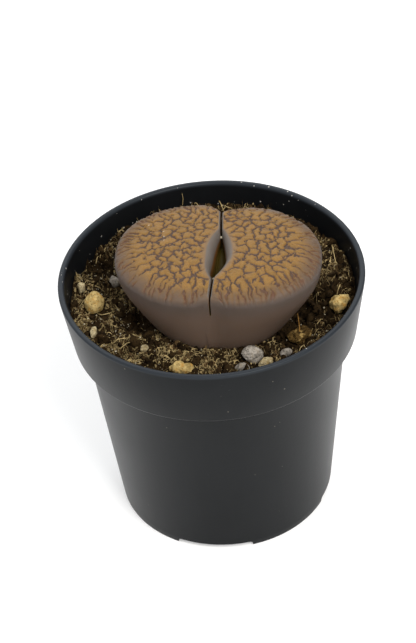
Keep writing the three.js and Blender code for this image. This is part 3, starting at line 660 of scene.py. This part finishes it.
def skin_material():
    """Waxy skin: ochre islands and dark lines, a painted sheen on the pads at the rim, a brown rim,
    mauve-brown sides, grey-brown lips, and brown walls down to a floor painted green as light
    glowing through the leaf."""
    material, tree, shader, place = new_material("lithops_skin")
    fact = {
        name: node(tree, "ShaderNodeAttribute", {}, attribute_name=name).outputs["Fac"]
        for name in ("net", "tone", "rho", "by_eye", "slit_depth", "down_side")
    }
    fine = noised(tree, place, 0.16 * MM, 3.0, 0.6)
    broad = noised(tree, place, 2.6 * MM)
    net = added(tree, fact["net"], worked(tree, "SUBTRACT", fine, 0.5), 0.12)
    outer = eased(tree, fact["rho"], 0.82, 1.04)

    ochre = mixed(tree, fact["tone"], (0.188, 0.098, 0.020), (0.224, 0.118, 0.027))
    ochre = mixed(tree, eased(tree, fine, 0.45, 0.75), ochre, (0.270, 0.144, 0.030))
    ochre = tinged(tree, ochre, eased(tree, fine, 0.5, 0.3), 0.6, (0.125, 0.066, 0.018))
    islands = mixed(tree, outer, ochre, (0.108, 0.063, 0.033))
    islands = tinged(tree, islands, eased(tree, net, 0.26, 0.0), 0.5, (0.145, 0.078, 0.028))
    # Painted sheen: the swollen pads between the lines near the rim are tinted greyer.
    painted_pad_sheen = worked(tree, "MULTIPLY", outer, eased(tree, net, 0.08, 0.4))
    islands = tinged(tree, islands, painted_pad_sheen, 0.6, (0.108, 0.074, 0.052))
    islands = tinged(tree, islands, fact["by_eye"], 0.7, (0.180, 0.112, 0.060))
    line = mixed(tree, outer, (0.076, 0.047, 0.034), (0.108, 0.049, 0.024))
    islands = tinged(tree, islands, specked(tree, place, 0.5 * MM, 0.25), 0.55, line)
    face = mixed(tree, eased(tree, net, 0.045, -0.03), islands, line)

    side = mixed(tree, eased(tree, fact["down_side"], 1.5, 6.0), (0.066, 0.047, 0.036), (0.122, 0.079, 0.054))
    side = tinged(tree, side, broad, 0.35, (0.122, 0.095, 0.084))
    rough_edge = added(tree, fact["down_side"], broad, 0.8)
    skin = mixed(tree, eased(tree, rough_edge, 0.3, 1.8), face, side)

    lip = mixed(tree, broad, (0.106, 0.088, 0.075), (0.134, 0.112, 0.094))
    skin = mixed(tree, eased(tree, fact["slit_depth"], -0.02, 0.22), skin, lip)
    # Painted glow: deep in the slit the brown walls turn to a floor painted green as light glowing through
    # the leaf.
    painted_glow_share = eased(tree, fact["slit_depth"], 1.1, 1.7)
    inside = mixed(tree, painted_glow_share, (0.112, 0.046, 0.008), (0.052, 0.034, 0.0005))
    skin = mixed(tree, eased(tree, fact["slit_depth"], 0.95, 1.15), skin, inside)
    skin = tinged(tree, skin, specked(tree, place, 1.3 * MM, 0.03), 0.5, (0.42, 0.38, 0.32))
    grain = added(tree, fine, noised(tree, place, 0.05 * MM, 2.0), 0.5)
    feed(tree, shader, {
        "Base Color": skin,
        "Roughness": added(tree, 0.5, fine, 0.14),
        "Specular IOR Level": 0.25,
        "Subsurface Weight": 0.12,
        "Subsurface Radius": (1.0, 0.45, 0.25),
        "Subsurface Scale": 0.6 * MM,
        "Normal": bumped(tree, grain, 0.03 * MM, 0.5),
    })
    return material


def mesh_points(mesh):
    points = np.empty(len(mesh.vertices) * 3)
    mesh.vertices.foreach_get("co", points)
    return points.reshape(-1, 3)


def set_mesh_points(mesh, points):
    mesh.vertices.foreach_set("co", np.ascontiguousarray(points, dtype=np.float32).ravel())
    mesh.update()


def plant_to_pot(points):
    """From the plant's own frame in millimetres to the pot's in metres."""
    place = Matrix.Translation((PLANT_X, PLANT_Y, 0)) @ Matrix.Rotation(PLANT_TURN, 4, "Z")
    turn = np.array(place)
    return (points @ turn[:3, :3].T + turn[:3, 3]) * MM


def make_leaf_pair():
    """The flat pattern is bent onto the leaves, and the net pressed into their faces."""
    bm = bmesh.new()
    bmesh.ops.create_grid(
        bm, x_segments=2 * (SLIT_COLUMNS + LOBE_COLUMNS), y_segments=FACE_ROWS, size=1
    )
    open_edges = [edge for edge in bm.edges if edge.is_boundary]
    for _ in range(SIDE_RINGS):
        grown = bmesh.ops.extrude_edge_only(bm, edges=open_edges)["geom"]
        ring = [part for part in grown if isinstance(part, bmesh.types.BMVert)]
        bmesh.ops.translate(bm, verts=ring, vec=(0, 0, -1))
        open_edges = [part for part in grown if isinstance(part, bmesh.types.BMEdge) and part.is_boundary]
    mesh = bpy.data.meshes.new("lithops_leaves")
    bm.to_mesh(mesh)

    points, facts = leaf_pair_points(mesh_points(mesh))
    on_face = (points[:, 2] > NET_LOWEST_Z) & (facts["in_slit"] >= 1)
    down = np.where(facts["ring"] > 0, FACE_RIM_Z - points[:, 2], 0)
    told = {
        "net": np.ones(len(points)), "tone": np.zeros(len(points)),
        "by_eye": smooth(0, 0.4, eye_share(facts["y"], LIP_HALF_LENGTH + 1)),
        "rho": facts["rho"], "down_side": down,
        "slit_depth": np.where(facts["ring"] > 0, 0, (1 - facts["in_slit"]) / LIP_SHARE),
    }
    net, tone, rho, by_eye = net_on_faces(facts["x"][on_face], facts["y"][on_face], down[on_face])
    for name, values in {"net": net, "tone": tone, "rho": rho, "by_eye": by_eye}.items():
        told[name][on_face] = values
    near_rim = smooth(2.4, 0.3, down[on_face])
    sunk = smooth(0.06, -0.1, net) * near_rim
    swollen = smooth(0.0, 0.5, net) * near_rim * (1 - 0.7 * by_eye)
    relief = 0.10 * swollen - NET_DEPTH * sunk
    aside = smooth(0.0, 1.2, down[on_face])
    away = np.stack([points[on_face, 0] / FACE_HALF_WIDTH, points[on_face, 1] / FACE_HALF_DEPTH], 1)
    away = away / np.maximum(np.hypot(away[:, 0], away[:, 1]), 1e-6)[:, None]
    points[on_face, :2] += away * (relief * aside)[:, None]
    points[on_face, 2] += relief * (1 - aside)
    for name, values in told.items():
        layer = mesh.attributes.new(name, "FLOAT", "POINT")
        layer.data.foreach_set("value", values.astype(np.float32))
    set_mesh_points(mesh, plant_to_pot(points))

    # The last ring is drawn together to the root's tip
    bm.clear()
    bm.from_mesh(mesh)
    tip_z = (SIDE_PROFILE[-1][2] + 0.01) * MM
    tip = [vert for vert in bm.verts if vert.co.z < tip_z]
    middle = sum((vert.co for vert in tip), Vector()) / len(tip)
    bmesh.ops.pointmerge(bm, verts=tip, merge_co=middle - Vector((0, 0, 0.5 * MM)))
    bmesh.ops.recalc_face_normals(bm, faces=bm.faces)
    bm.to_mesh(mesh)
    bm.free()
    leaves = finished_piece("lithops_leaves", mesh, skin_material())
    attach(leaves, "root")
    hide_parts("lithops_plant")


make_leaf_pair()

# Soil
# Dark peat, filled in round the plant's neck to about six millimetres under the lip. It is hollow
# beside the plant at the left and the front right, banked up at the back, and lies in low clumps
# at the front left.
SOIL_Z = 42.9
SOIL_BANK = 1.5
# Middle, rise and reach of each mound or hollow
SOIL_MOUNDS = [
    (-13.2, -4.2, -3.0, 3.8), (-17.5, 2.5, -0.9, 3.0), (-20, 11, -1.6, 4),
    (15.5, -4.5, -2.6, 4.5), (13, -11.5, -2.1, 3.7), (3, -14.5, -0.6, 4),
    (-14.0, -10.6, 1.2, 2.8), (-7.5, -14.5, 0.6, 2.6), (-3, -18, 0.5, 3.5),
]
# Spacing of the crumbs that stand out of the bed, and how far they rise
CRUMB_RELIEF = {2.6: 1.2, 1.3: 0.8, 0.6: 0.4}
SOIL_CLEARANCE = 0.08
SOIL_UNDERSIDE_Z = 2.6
HOLE_BRIM_Z = 44.5
WALL_BRIM_Z = 45
INNER_STEP_Z = 38.5
SOIL_COLUMNS = 480
SOIL_ROWS = {"hole": 16, "top": 56, "wall": 10, "floor": 4}
STONES = [name for name in frame["nodes"] if name.startswith("stone_") or name == "lump_brown"]
STONE_BOXES = {name: [np.array(corner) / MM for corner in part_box(name)] for name in STONES}


def crumb_domes(x, y, spacing):
    """Rounded crumbs on a grid of cells, with random places, sizes and heights from 0 to 1."""
    height = np.zeros_like(x)
    for i in (-1, 0, 1):
        for j in (-1, 0, 1):
            column = np.floor(x / spacing) + i
            row = np.floor(y / spacing) + j
            cell = column * 127.1 + row * 311.7
            right, up, breadth, rise = (scrambled(cell + channel * 74.7) for channel in range(4))
            away = np.hypot(x - (column + right) * spacing, y - (row + up) * spacing)
            away = away / (spacing * (0.45 + 0.4 * breadth))
            height = np.maximum(height, (0.35 + 0.65 * rise) * np.sqrt(np.maximum(0, 1 - away * away)))
    return height


def soil_height(x, y):
    """The bed's surface: its level and bank, mounds and hollows, crumbs, and rests for the stones."""
    height = SOIL_Z + SOIL_BANK * smooth(14, 25, np.hypot(x, y)) * smooth(-16, 6, y)
    for centre_x, centre_y, rise, reach in SOIL_MOUNDS:
        height = height + rise * np.exp(-(np.hypot(x - centre_x, y - centre_y) / reach) ** 2)
    for spacing, rise in CRUMB_RELIEF.items():
        height = height + rise * crumb_domes(x, y, spacing)
    for low, high in STONE_BOXES.values():
        centre, half = (low + high) / 2, (high - low) / 2
        away = np.hypot((x - centre[0]) / half[0], (y - centre[1]) / half[1])
        height = np.maximum(height, low[2] + 0.5 * half[2] - 2.0 * np.maximum(0, away - 1))
    return height


def neck_outline(angle, share, clearance):
    """The plant's outline round an angle at a share of its side's profile, in the pot's frame."""
    half_width, half_depth, z = profile_at(share)
    across, along = np.cos(angle), np.sin(angle)
    reach = outline_scale(across, along, outline_power(z))
    x = across * reach * (half_width + clearance)
    y = notched(x, along * reach * (half_depth + clearance), half_depth + clearance, smooth(40, 55, z))
    turned = plant_to_pot(np.stack([x, y, z], 1)) / MM
    return turned[:, 0], turned[:, 1]


def inner_wall(z):
    """How far the soil reaches from the pot's middle at a height."""
    outside = np.where(z < INNER_STEP_Z, body_radius(z * MM), collar_radius(z * MM))
    return (outside - WALL) / MM - SOIL_CLEARANCE


def soil_points(pattern):
    """Bends the flat pattern round the pot: up the plant's hole, over the top, down the pot's wall
    and in along its floor."""
    angle = pattern[:, 0] * pi
    rows = (pattern[:, 1] + 1) / 2 * sum(SOIL_ROWS.values())
    stretches = []
    for count in SOIL_ROWS.values():
        stretches.append(np.clip(rows / count, 0, 1))
        rows = rows - count
    up_hole, over_top, down_wall, in_floor = stretches

    # The hole's brim is where the plant's side meets the soil, found in three rounds
    brim = share_at_height(np.full_like(angle, HOLE_BRIM_Z))
    for _ in range(3):
        near_x, near_y = neck_outline(angle, brim, SOIL_CLEARANCE)
        brim = share_at_height(soil_height(near_x, near_y))
    share = between(1, brim, up_hole)
    near_x, near_y = neck_outline(angle, share, SOIL_CLEARANCE)
    out_x, out_y = np.cos(angle + PLANT_TURN), np.sin(angle + PLANT_TURN)
    edge_z = soil_height(inner_wall(WALL_BRIM_Z) * out_x, inner_wall(WALL_BRIM_Z) * out_y)
    wall_z = between(edge_z, SOIL_UNDERSIDE_Z, down_wall)
    reach = inner_wall(np.where(over_top < 1, WALL_BRIM_Z, wall_z)) * (1 - in_floor)
    x, y = between(near_x, reach * out_x, over_top), between(near_y, reach * out_y, over_top)
    z = np.where(over_top < 1, soil_height(x, y), wall_z)
    z = np.where(up_hole < 1, profile_at(share)[2], z)

    # It gives way under the stones
    for low, high in STONE_BOXES.values():
        centre, half = (low + high) / 2, (high - low) / 2 + SOIL_CLEARANCE
        away = np.hypot((x - centre[0]) / half[0], (y - centre[1]) / half[1])
        under = centre[2] - half[2] * np.sqrt(np.maximum(0, 1 - away * away))
        z = np.where((away < 1) & (over_top > 0) & (over_top < 1), np.minimum(z, under), z)
    return np.stack([x, y, z], 1) * MM


def grit_effect():
    """Coarse earth or stone: a mottled tone and a height with pits and grains."""
    group, given, result = new_effect("grit", ("Grain", "Pits"), ("Tone", "Height"))
    scale = worked(group, "DIVIDE", 1.0, given["Grain"])
    spread = {"Vector": given["Place"], "Scale": scale}
    broad_spread = {"Vector": given["Place"], "Scale": worked(group, "MULTIPLY", scale, 0.35)}
    broad = node(group, "ShaderNodeTexNoise", {**broad_spread, "Detail": 4.0}).outputs[0]
    fine = node(group, "ShaderNodeTexNoise", {**spread, "Detail": 5.0, "Roughness": 0.7}).outputs[0]
    cells = node(group, "ShaderNodeTexVoronoi", spread).outputs["Distance"]
    hollow = worked(group, "MULTIPLY", eased(group, cells, 0.35, 0.0), given["Pits"])
    tone = added(group, worked(group, "MULTIPLY", broad, 0.55), fine, 0.45)
    group.links.new(added(group, tone, hollow, -0.5), result["Tone"])
    group.links.new(worked(group, "SUBTRACT", fine, hollow), result["Height"])
    return group


grit = grit_effect()


def gritty_material(name, dark, light, grain, pits, rise):
    """Rough matt earth or stone between two colours, with its grain and rise in millimetres."""
    material, tree, shader, place = new_material(name)
    inputs = {"Place": place, "Grain": grain * MM, "Pits": pits}
    seen = node(tree, "ShaderNodeGroup", inputs, node_tree=grit).outputs
    feed(tree, shader, {
        "Base Color": mixed(tree, eased(tree, seen["Tone"], 0.3, 0.68), dark, light),
        "Roughness": 0.92,
        "Specular IOR Level": 0.06,
        "Normal": bumped(tree, seen["Height"], rise * MM, 0.8),
    })
    return material


def make_soil(material):
    bm = bmesh.new()
    bmesh.ops.create_grid(bm, x_segments=SOIL_COLUMNS, y_segments=sum(SOIL_ROWS.values()), size=1)
    mesh = bpy.data.meshes.new("peat_bed")
    bm.to_mesh(mesh)
    set_mesh_points(mesh, soil_points(mesh_points(mesh)))
    bm.clear()
    bm.from_mesh(mesh)
    bmesh.ops.remove_doubles(bm, verts=bm.verts, dist=0.0005 * MM)
    bmesh.ops.recalc_face_normals(bm, faces=bm.faces)
    bm.to_mesh(mesh)
    bm.free()
    bed = finished_piece("peat_bed", mesh, material, 50)
    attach(bed, "root")
    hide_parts("soil")


peat = gritty_material("peat", (0.0018, 0.0009, 0.0003), (0.034, 0.020, 0.0075), 0.5, 0.6, 0.15)
make_soil(peat)

# Loose crumbs and grit
# What lies on top of the peat: crumbs of it, and pale mineral grains, three of them in the slit.
# Each is a small lump, and all those of a kind are one piece.
SOIL_SEED = 5
SOIL_REACH = 25
TRIALS_FOR_EACH = 16
LUMP_SHAPES = 6
LUMP_UNEVENNESS = 0.75


def open_soil(x, y, margin):
    """The soil's height at places, and which of them are clear of the plant, stones and pot."""
    z = soil_height(x, y)
    half_width, half_depth, _ = profile_at(share_at_height(z + margin))
    turn = -PLANT_TURN
    across = (x - PLANT_X) * cos(turn) - (y - PLANT_Y) * sin(turn)
    along = (x - PLANT_X) * sin(turn) + (y - PLANT_Y) * cos(turn)
    spread = np.abs(across / (half_width + margin)) ** OUTLINE_POWER
    spread += np.abs(along / (half_depth + margin)) ** OUTLINE_POWER
    clear = (spread > 1) & (np.hypot(x, y) < inner_wall(WALL_BRIM_Z) - margin)
    for low, high in STONE_BOXES.values():
        beside = (x < low[0] - margin) | (x > high[0] + margin)
        clear &= beside | (y < low[1] - margin) | (y > high[1] + margin)
    return z, clear


def strewn_places(random, count, margin, density):
    """Random places on the open soil, more of them where the density is high."""
    x, y = random.uniform(-SOIL_REACH, SOIL_REACH, (2, count * TRIALS_FOR_EACH))
    z, clear = open_soil(x, y, margin)
    kept = clear & (random.random(len(x)) < density(x, y))
    return np.stack([x, y, z], 1)[kept][:count]


def lump_shapes(seed, divisions):
    """A few uneven lumps about one unit across, to be copied."""
    shapes = []
    for number in range(LUMP_SHAPES):
        bm = bmesh.new()
        bmesh.ops.create_icosphere(bm, subdivisions=divisions, radius=0.5)
        for vert in bm.verts:
            swell = noise.noise(vert.co * 2.2 + Vector((seed, number * 5.0, 0)))
            vert.co *= 1 + LUMP_UNEVENNESS * swell
        shapes.append(mesh_of(bm, "lump_shape"))
    return shapes


def strewn_lumps(name, seed, count, sizes, divisions, sunk, density, material):
    """Many lumps of random size, turn and flatness on the soil, as one piece."""
    random = np.random.default_rng(seed)
    shapes = lump_shapes(seed, divisions)
    bm = bmesh.new()
    for place in strewn_places(random, count, sizes[0], density):
        size = between(sizes[0], sizes[1], random.random() ** 2)
        stretch = Vector(random.uniform((0.7, 0.5, 0.35), (1.5, 1.2, 0.9))) * size
        turn = Euler(random.uniform(0, 2 * pi, 3)).to_matrix().to_4x4()
        lift = Vector((0, 0, size * (0.5 - sunk)))
        laid = Matrix.Scale(MM, 4) @ Matrix.Translation(Vector(place) + lift)
        copy = shapes[random.integers(len(shapes))].copy()
        copy.transform(laid @ turn @ Matrix.Diagonal((*stretch, 1)))
        bm.from_mesh(copy)
        bpy.data.meshes.remove(copy)
    for shape in shapes:
        bpy.data.meshes.remove(shape)
    lumps = finished_piece(name, mesh_of(bm, name), material, 40)
    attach(lumps, "root")


def lay_grains(name, places, material):
    """A few grains of given size at given places, as one piece."""
    bm = bmesh.new()
    for place, size in places:
        grain = bmesh.ops.create_icosphere(bm, subdivisions=2, radius=size / 2 * MM)["verts"]
        for vert in grain:
            vert.co *= 1 + 0.7 * noise.noise(vert.co / MM * 3 + Vector(place))
        bmesh.ops.translate(bm, verts=grain, vec=Vector(place) * MM)
    grains = finished_piece(name, mesh_of(bm, name), material, 40)
    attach(grains, "root")


def everywhere(x, y):
    return np.ones_like(x)


def raised(x, y):
    """In clusters, and fewer in the hollows beside the plant."""
    cluster = noise_at(x, y, 3.2, 5.0)
    hollows = sum(
        rise * np.exp(-(np.hypot(x - centre_x, y - centre_y) / reach) ** 2)
        for centre_x, centre_y, rise, reach in SOIL_MOUNDS if rise < 0
    )
    return (0.02 + 0.98 * smooth(-1.5, -0.4, hollows)) * (0.15 + 0.85 * smooth(-0.25, 0.25, cluster))


def front_left(x, y):
    """Densest at the front left, and sparse in the dark soil at the front right."""
    front_right = smooth(4, 9, x) * smooth(-5, -10, y)
    return raised(x, y) * (0.35 + 0.65 * smooth(8, -14, x * 0.7 + y)) * (1 - 0.7 * front_right)


def left_side(x, y):
    """Densest at the left."""
    return 0.3 + 0.7 * smooth(-6, -17, x)


brown_bits = gritty_material("brown_bits", (0.009, 0.0045, 0.0015), (0.108, 0.067, 0.028), 0.9, 0.5, 0.05)
tan_bits = gritty_material("tan_bits", (0.070, 0.050, 0.022), (0.400, 0.300, 0.140), 0.9, 0.5, 0.05)
pale_grit = gritty_material("pale_grit", (0.26, 0.22, 0.15), (0.62, 0.56, 0.42), 0.3, 0.5, 0.05)
strewn_lumps("peat_crumbs", SOIL_SEED, 900, (0.5, 1.9), 2, 0.3, everywhere, peat)
strewn_lumps("brown_crumbs", SOIL_SEED + 1, 2200, (0.25, 0.95), 1, 0.2, raised, brown_bits)
strewn_lumps("tan_crumbs", SOIL_SEED + 2, 3700, (0.16, 0.6), 1, 0.15, front_left, tan_bits)
strewn_lumps("pale_grains", SOIL_SEED + 3, 1300, (0.1, 0.38), 1, 0.1, left_side, pale_grit)
EYE_GRAINS = [((2.3, 2.0, 56.35), 0.5), ((0.35, -8.9, 56.1), 0.42), ((0.75, -8.3, 55.9), 0.3)]
lay_grains("eye_grains", EYE_GRAINS, pale_grit)

# Plant fibres
# Bits of moss stem, rootlets and straw that stay in milled peat: thin, curved, tapering strands
# lying on the surface or sticking out of it, golden, tan or dark.
FIBRE_SEED = 21
FIBRE_STEPS = 5
UPWARDS = (0, 0, 1)
ORANGE_TWIG_WIDTH = 0.24
ORANGE_TWIG = [(14.6, -11.8, 44.0), (14.7, -11.6, 45.6), (14.6, -11.3, 47.4), (14.5, -11.1, 48.6)]
SEEN_STRAW_WIDTH = 0.17
SEEN_STRAWS = [
    [(14.2, -16.5, 44.6), (14.6, -16.4, 45.4), (15.1, -16.4, 45.8), (15.3, -16.8, 45.4), (14.9, -16.8, 44.8)],
    [(22.8, 9.8, 45.9), (22.2, 7.7, 46.2), (21.7, 5.7, 46.0), (20.9, 3.9, 45.2)],
    [(22.4, 10.9, 46.0), (22.5, 8.2, 46.4), (22.6, 6.1, 46.2), (22.8, 4.6, 45.4)],
    [(22.6, -4.6, 48.9), (22.2, -5.1, 48.2), (21.9, -5.5, 47.2)],
    [(3.0, 22.1, 46.6), (3.8, 21.7, 47.8), (4.7, 20.9, 48.0), (5.6, 20.9, 46.6)],
    [(2.6, 23.9, 47.6), (2.9, 22.6, 47.8), (3.4, 21.5, 46.6)],
    [(-21.4, 5.3, 44.9), (-20.5, 4.0, 45.6), (-19.4, 3.1, 45.0)],
    [(-23.0, 1.2, 45.3), (-23.6, -0.2, 45.5), (-24.1, -1.4, 45.0)],
    [(-20.9, -2.3, 44.7), (-20.0, -3.6, 45.4), (-18.9, -3.4, 45.4), (-18.1, -2.0, 44.6)],
    [(-18.3, -11.1, 44.9), (-17.2, -11.2, 46.0), (-16.2, -10.9, 45.8), (-15.1, -9.6, 44.8)],
    [(-16.8, -12.7, 45.2), (-15.7, -12.7, 46.2), (-14.4, -11.1, 45.2)],
    [(18.0, -8.6, 43.6), (18.7, -8.4, 44.4), (19.6, -8.4, 44.4), (20.3, -8.6, 43.6)],
    [(-4.3, 24.9, 46.6), (-4.1, 25.2, 47.8), (-4.2, 25.4, 48.9)],
]


def lay_strands(name, courses, widths, material):
    """Tapering strands along given courses, as one piece."""
    curve = bpy.data.curves.new(name, "CURVE")
    curve.dimensions = "3D"
    curve.bevel_depth = MM
    curve.bevel_resolution = 0
    curve.use_fill_caps = True
    for places, width in zip(courses, widths):
        count = len(places)
        spline = curve.splines.new("POLY")
        spline.points.add(count - 1)
        spline.points.foreach_set("co", np.column_stack([np.array(places) * MM, np.ones(count)]).ravel())
        spline.points.foreach_set("radius", width / 2 * (1 - 0.75 * np.linspace(0, 1, count) ** 2))
    strands = linked_object(name, curve)
    mesh = bpy.data.meshes.new_from_object(strands)
    bpy.data.objects.remove(strands)
    fibres = finished_piece(name, mesh, material)
    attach(fibres, "root")


def strewn_fibres(name, seed, count, lengths, thickness, lift, density, material):
    """Many curved strands that lie on the soil."""
    random = np.random.default_rng(seed)
    at = strewn_places(random, count, 0.35, density)
    step = between(lengths[0], lengths[1], random.random(len(at)) ** 1.8) / FIBRE_STEPS
    width = between(thickness[0], thickness[1], random.random(len(at)) ** 2)
    heading = random.uniform(0, 2 * pi, len(at))
    turning = random.normal(0, 0.07, len(at))
    rise = lift * random.random(len(at)) ** 2
    course = []
    for number in range(FIBRE_STEPS + 1):
        share = number / FIBRE_STEPS
        hump = 0.05 + rise * sin(share * pi) + rise * 0.6 * share
        course.append(at + np.outer(hump, UPWARDS))
        heading = heading + turning + random.normal(0, 0.07, len(at))
        x, y = at[:, 0] + np.cos(heading) * step, at[:, 1] + np.sin(heading) * step
        z, clear = open_soil(x, y, 0.1)
        onward = np.stack([x, y, between(at[:, 2], z, 0.6)], 1)
        at = np.where(clear[:, None], onward, at + np.outer(0.6 * step, UPWARDS))
    lay_strands(name, np.stack(course, 1), width, material)


golden = gritty_material("golden_straw", (0.11, 0.078, 0.032), (0.70, 0.53, 0.25), 0.8, 0.0, 0.02)
tan = gritty_material("tan_fibres", (0.08, 0.055, 0.025), (0.34, 0.25, 0.12), 0.8, 0.0, 0.02)
dark = gritty_material("dark_rootlets", (0.008, 0.005, 0.003), (0.045, 0.027, 0.012), 0.8, 0.0, 0.02)
orange = gritty_material("orange_twig", (0.16, 0.07, 0.015), (0.36, 0.19, 0.05), 0.8, 0.0, 0.02)
strewn_fibres("golden_straw", FIBRE_SEED, 2300, (0.35, 1.9), (0.05, 0.18), 0.6, front_left, golden)
strewn_fibres("tan_fibres", FIBRE_SEED + 1, 1700, (0.3, 2.1), (0.04, 0.12), 0.9, raised, tan)
strewn_fibres("dark_rootlets", FIBRE_SEED + 2, 800, (0.8, 3.6), (0.04, 0.1), 0.9, everywhere, dark)
strewn_fibres("long_straws", FIBRE_SEED + 3, 60, (2.2, 5.0), (0.05, 0.11), 1.5, everywhere, tan)
lay_strands("orange_twig", [ORANGE_TWIG], [ORANGE_TWIG_WIDTH], orange)
lay_strands("seen_straws", SEEN_STRAWS, [SEEN_STRAW_WIDTH] * len(SEEN_STRAWS), golden)

# Stones
# Loose grit in the pot: rounded and angular bits of porous yellow, cream and grey rock and one
# brown clod, half sunk in the peat. Each keeps the form of its node and gets its pits and grain.
# Dark, light and stain colour
STONE_FINISHES = {
    "yellow_stone": ((0.21, 0.145, 0.050), (0.58, 0.43, 0.18), (0.40, 0.20, 0.035)),
    "cream_stone": ((0.14, 0.105, 0.055), (0.56, 0.47, 0.28), (0.25, 0.17, 0.06)),
    "grey_stone": ((0.13, 0.115, 0.095), (0.40, 0.36, 0.31), (0.22, 0.17, 0.11)),
    "brown_lump": ((0.014, 0.007, 0.002), (0.115, 0.068, 0.020), (0.50, 0.34, 0.12)),
}
STONE_UNEVENNESS = {
    "stone_yellow_left": 0.4, "stone_pinkish_grey": 0.5, "stone_yellow_right": 0.9, "lump_brown": 1.5,
}
STONE_FACETS = {
    "stone_yellow_left": 0, "stone_yellow_right": 9, "stone_cream_back": 8, "stone_yellow_front": 7,
    "lump_brown": 8,
}
STONE_TAPER = {"stone_yellow_right": 0.45}
LARGE_STONE = 4.5
STONE_SHRINK = 0.03


def stone_material(name, dark, light, stain):
    """Porous rock: grain and pits between two colours, with stains of a third."""
    material = gritty_material(name, dark, light, 0.4, 1.0, 0.12)
    tree = material.node_tree
    shader = tree.nodes["Principled BSDF"]
    plain = shader.inputs["Base Color"].links[0].from_socket
    place = tree.nodes.new("ShaderNodeTexCoord").outputs["Object"]
    stained = eased(tree, noised(tree, place, 0.9 * MM, 5.0, 0.65), 0.5, 0.68)
    tree.links.new(tinged(tree, plain, stained, 0.75, stain), shader.inputs["Base Color"])
    return material


stone_materials = {slot: stone_material(slot, *finish) for slot, finish in STONE_FINISHES.items()}
slot_of = {row["node"]: row["material_slot"] for row in frame["record"]["subparts"]}


def make_stone(name, number):
    """A finer copy of a stone's node, with flats cut on it and pits and bumps pressed into it."""
    bm = bmesh.new()
    bm.from_mesh(frame["nodes"][name].data)
    bmesh.ops.remove_doubles(bm, verts=bm.verts, dist=0.001 * MM)
    low, high = (np.array(corner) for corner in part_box(name))
    size = np.linalg.norm(high - low) / MM
    cuts = 4 if size > LARGE_STONE else 2
    bmesh.ops.subdivide_edges(bm, edges=bm.edges, cuts=cuts, use_grid_fill=True, smooth=1.0)
    bmesh.ops.recalc_face_normals(bm, faces=bm.faces)
    random = np.random.default_rng(number)
    middle = sum((vert.co for vert in bm.verts), Vector()) / len(bm.verts)
    for _ in range(STONE_FACETS.get(name, 3)):
        way = Vector(random.normal(0, 1, 3)).normalized()
        reach = max((vert.co - middle).dot(way) for vert in bm.verts) * random.uniform(0.68, 0.9)
        for vert in bm.verts:
            over = (vert.co - middle).dot(way) - reach
            vert.co -= way * max(0.0, over) * 0.92
    taper = STONE_TAPER.get(name, 0.0)
    for vert in bm.verts:
        away = (np.array(vert.co) - (low + high) / 2) / (high - low) * 2
        vert.co.x += (vert.co.x - middle.x) * taper * (away[1] + away[2]) / 2
    bm.normal_update()
    unevenness = STONE_UNEVENNESS.get(name, 0.8)
    moves = []
    for vert in bm.verts:
        spot = vert.co / MM + Vector((number * 7.0, 0, 0))
        lumps = (noise.noise(spot * 0.55) * 0.5 + noise.noise(spot * 1.3) * 0.28) * unevenness
        grains = noise.noise(spot * 3.0) * 0.1
        pit = max(0.0, 0.34 - noise.voronoi(spot * 2.2)[0][0]) * 0.5
        moves.append(vert.normal * (lumps + grains - pit - STONE_SHRINK) * min(1.0, size / 5) * MM)
    for vert, move in zip(bm.verts, moves):
        vert.co += move
    stone = finished_piece(name + "_fine", mesh_of(bm, name + "_fine"), stone_materials[slot_of[name]])
    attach(stone, "root")
    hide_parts(name)


for stone_number, stone_name in enumerate(sorted(STONES)):
    make_stone(stone_name, stone_number)

# Floor and light
# A plain white floor, lit a little from below like a studio's light table, under a sky that is
# white at the left and dim at the right, with a soft lamp at the front right and a larger, cooler
# one behind.
floor_bm = bmesh.new()
bmesh.ops.create_grid(floor_bm, x_segments=1, y_segments=1, size=1.5)
floor_mesh = mesh_of(floor_bm, "floor")
floor = linked_object("floor", floor_mesh)
floor_material, floor_tree, floor_shader, _ = new_material("pale_floor")
feed(floor_tree, floor_shader, {
    "Base Color": (0.75, 0.75, 0.75, 1),
    "Roughness": 0.9,
    "Emission Color": (1, 1, 1, 1),
    "Emission Strength": 0.28,
})
floor_mesh.materials.append(floor_material)

world = bpy.data.worlds.new("studio")
world.use_nodes = True
world_tree = world.node_tree
sky_way = world_tree.nodes.new("ShaderNodeTexCoord").outputs["Generated"]
sky_across = node(world_tree, "ShaderNodeSeparateXYZ", {"Vector": sky_way}).outputs["X"]
sky = mixed(world_tree, eased(world_tree, sky_across, 0.85, 0.0), (0.13, 0.13, 0.13), (1, 1, 1))
world_tree.links.new(sky, world_tree.nodes["Background"].inputs["Color"])
bpy.context.scene.world = world


def add_lamp(name, place, aim, width, height, power, colour):
    lamp_data = bpy.data.lights.new(name, "AREA")
    lamp_data.shape = "RECTANGLE"
    lamp_data.size = width
    lamp_data.size_y = height
    lamp_data.energy = power
    lamp_data.color = colour
    lamp = bpy.data.objects.new(name, lamp_data)
    way = Vector(aim) - Vector(place)
    lamp.matrix_world = Matrix.Translation(place) @ way.to_track_quat("-Z", "Y").to_matrix().to_4x4()
    bpy.context.scene.collection.objects.link(lamp)


add_lamp("key_lamp", (0.21, -0.32, 0.455), (0, 0, 0.04), 0.3, 0.3, 3.05, (1.0, 0.98, 0.95))
add_lamp("back_lamp", (0.0, 0.62, 0.50), (0, 0, 0.04), 0.9, 0.6, 2.6, (0.93, 0.97, 1.0))
bpy.context.scene.view_settings.view_transform = "Standard"
bpy.context.scene.view_settings.look = "None"
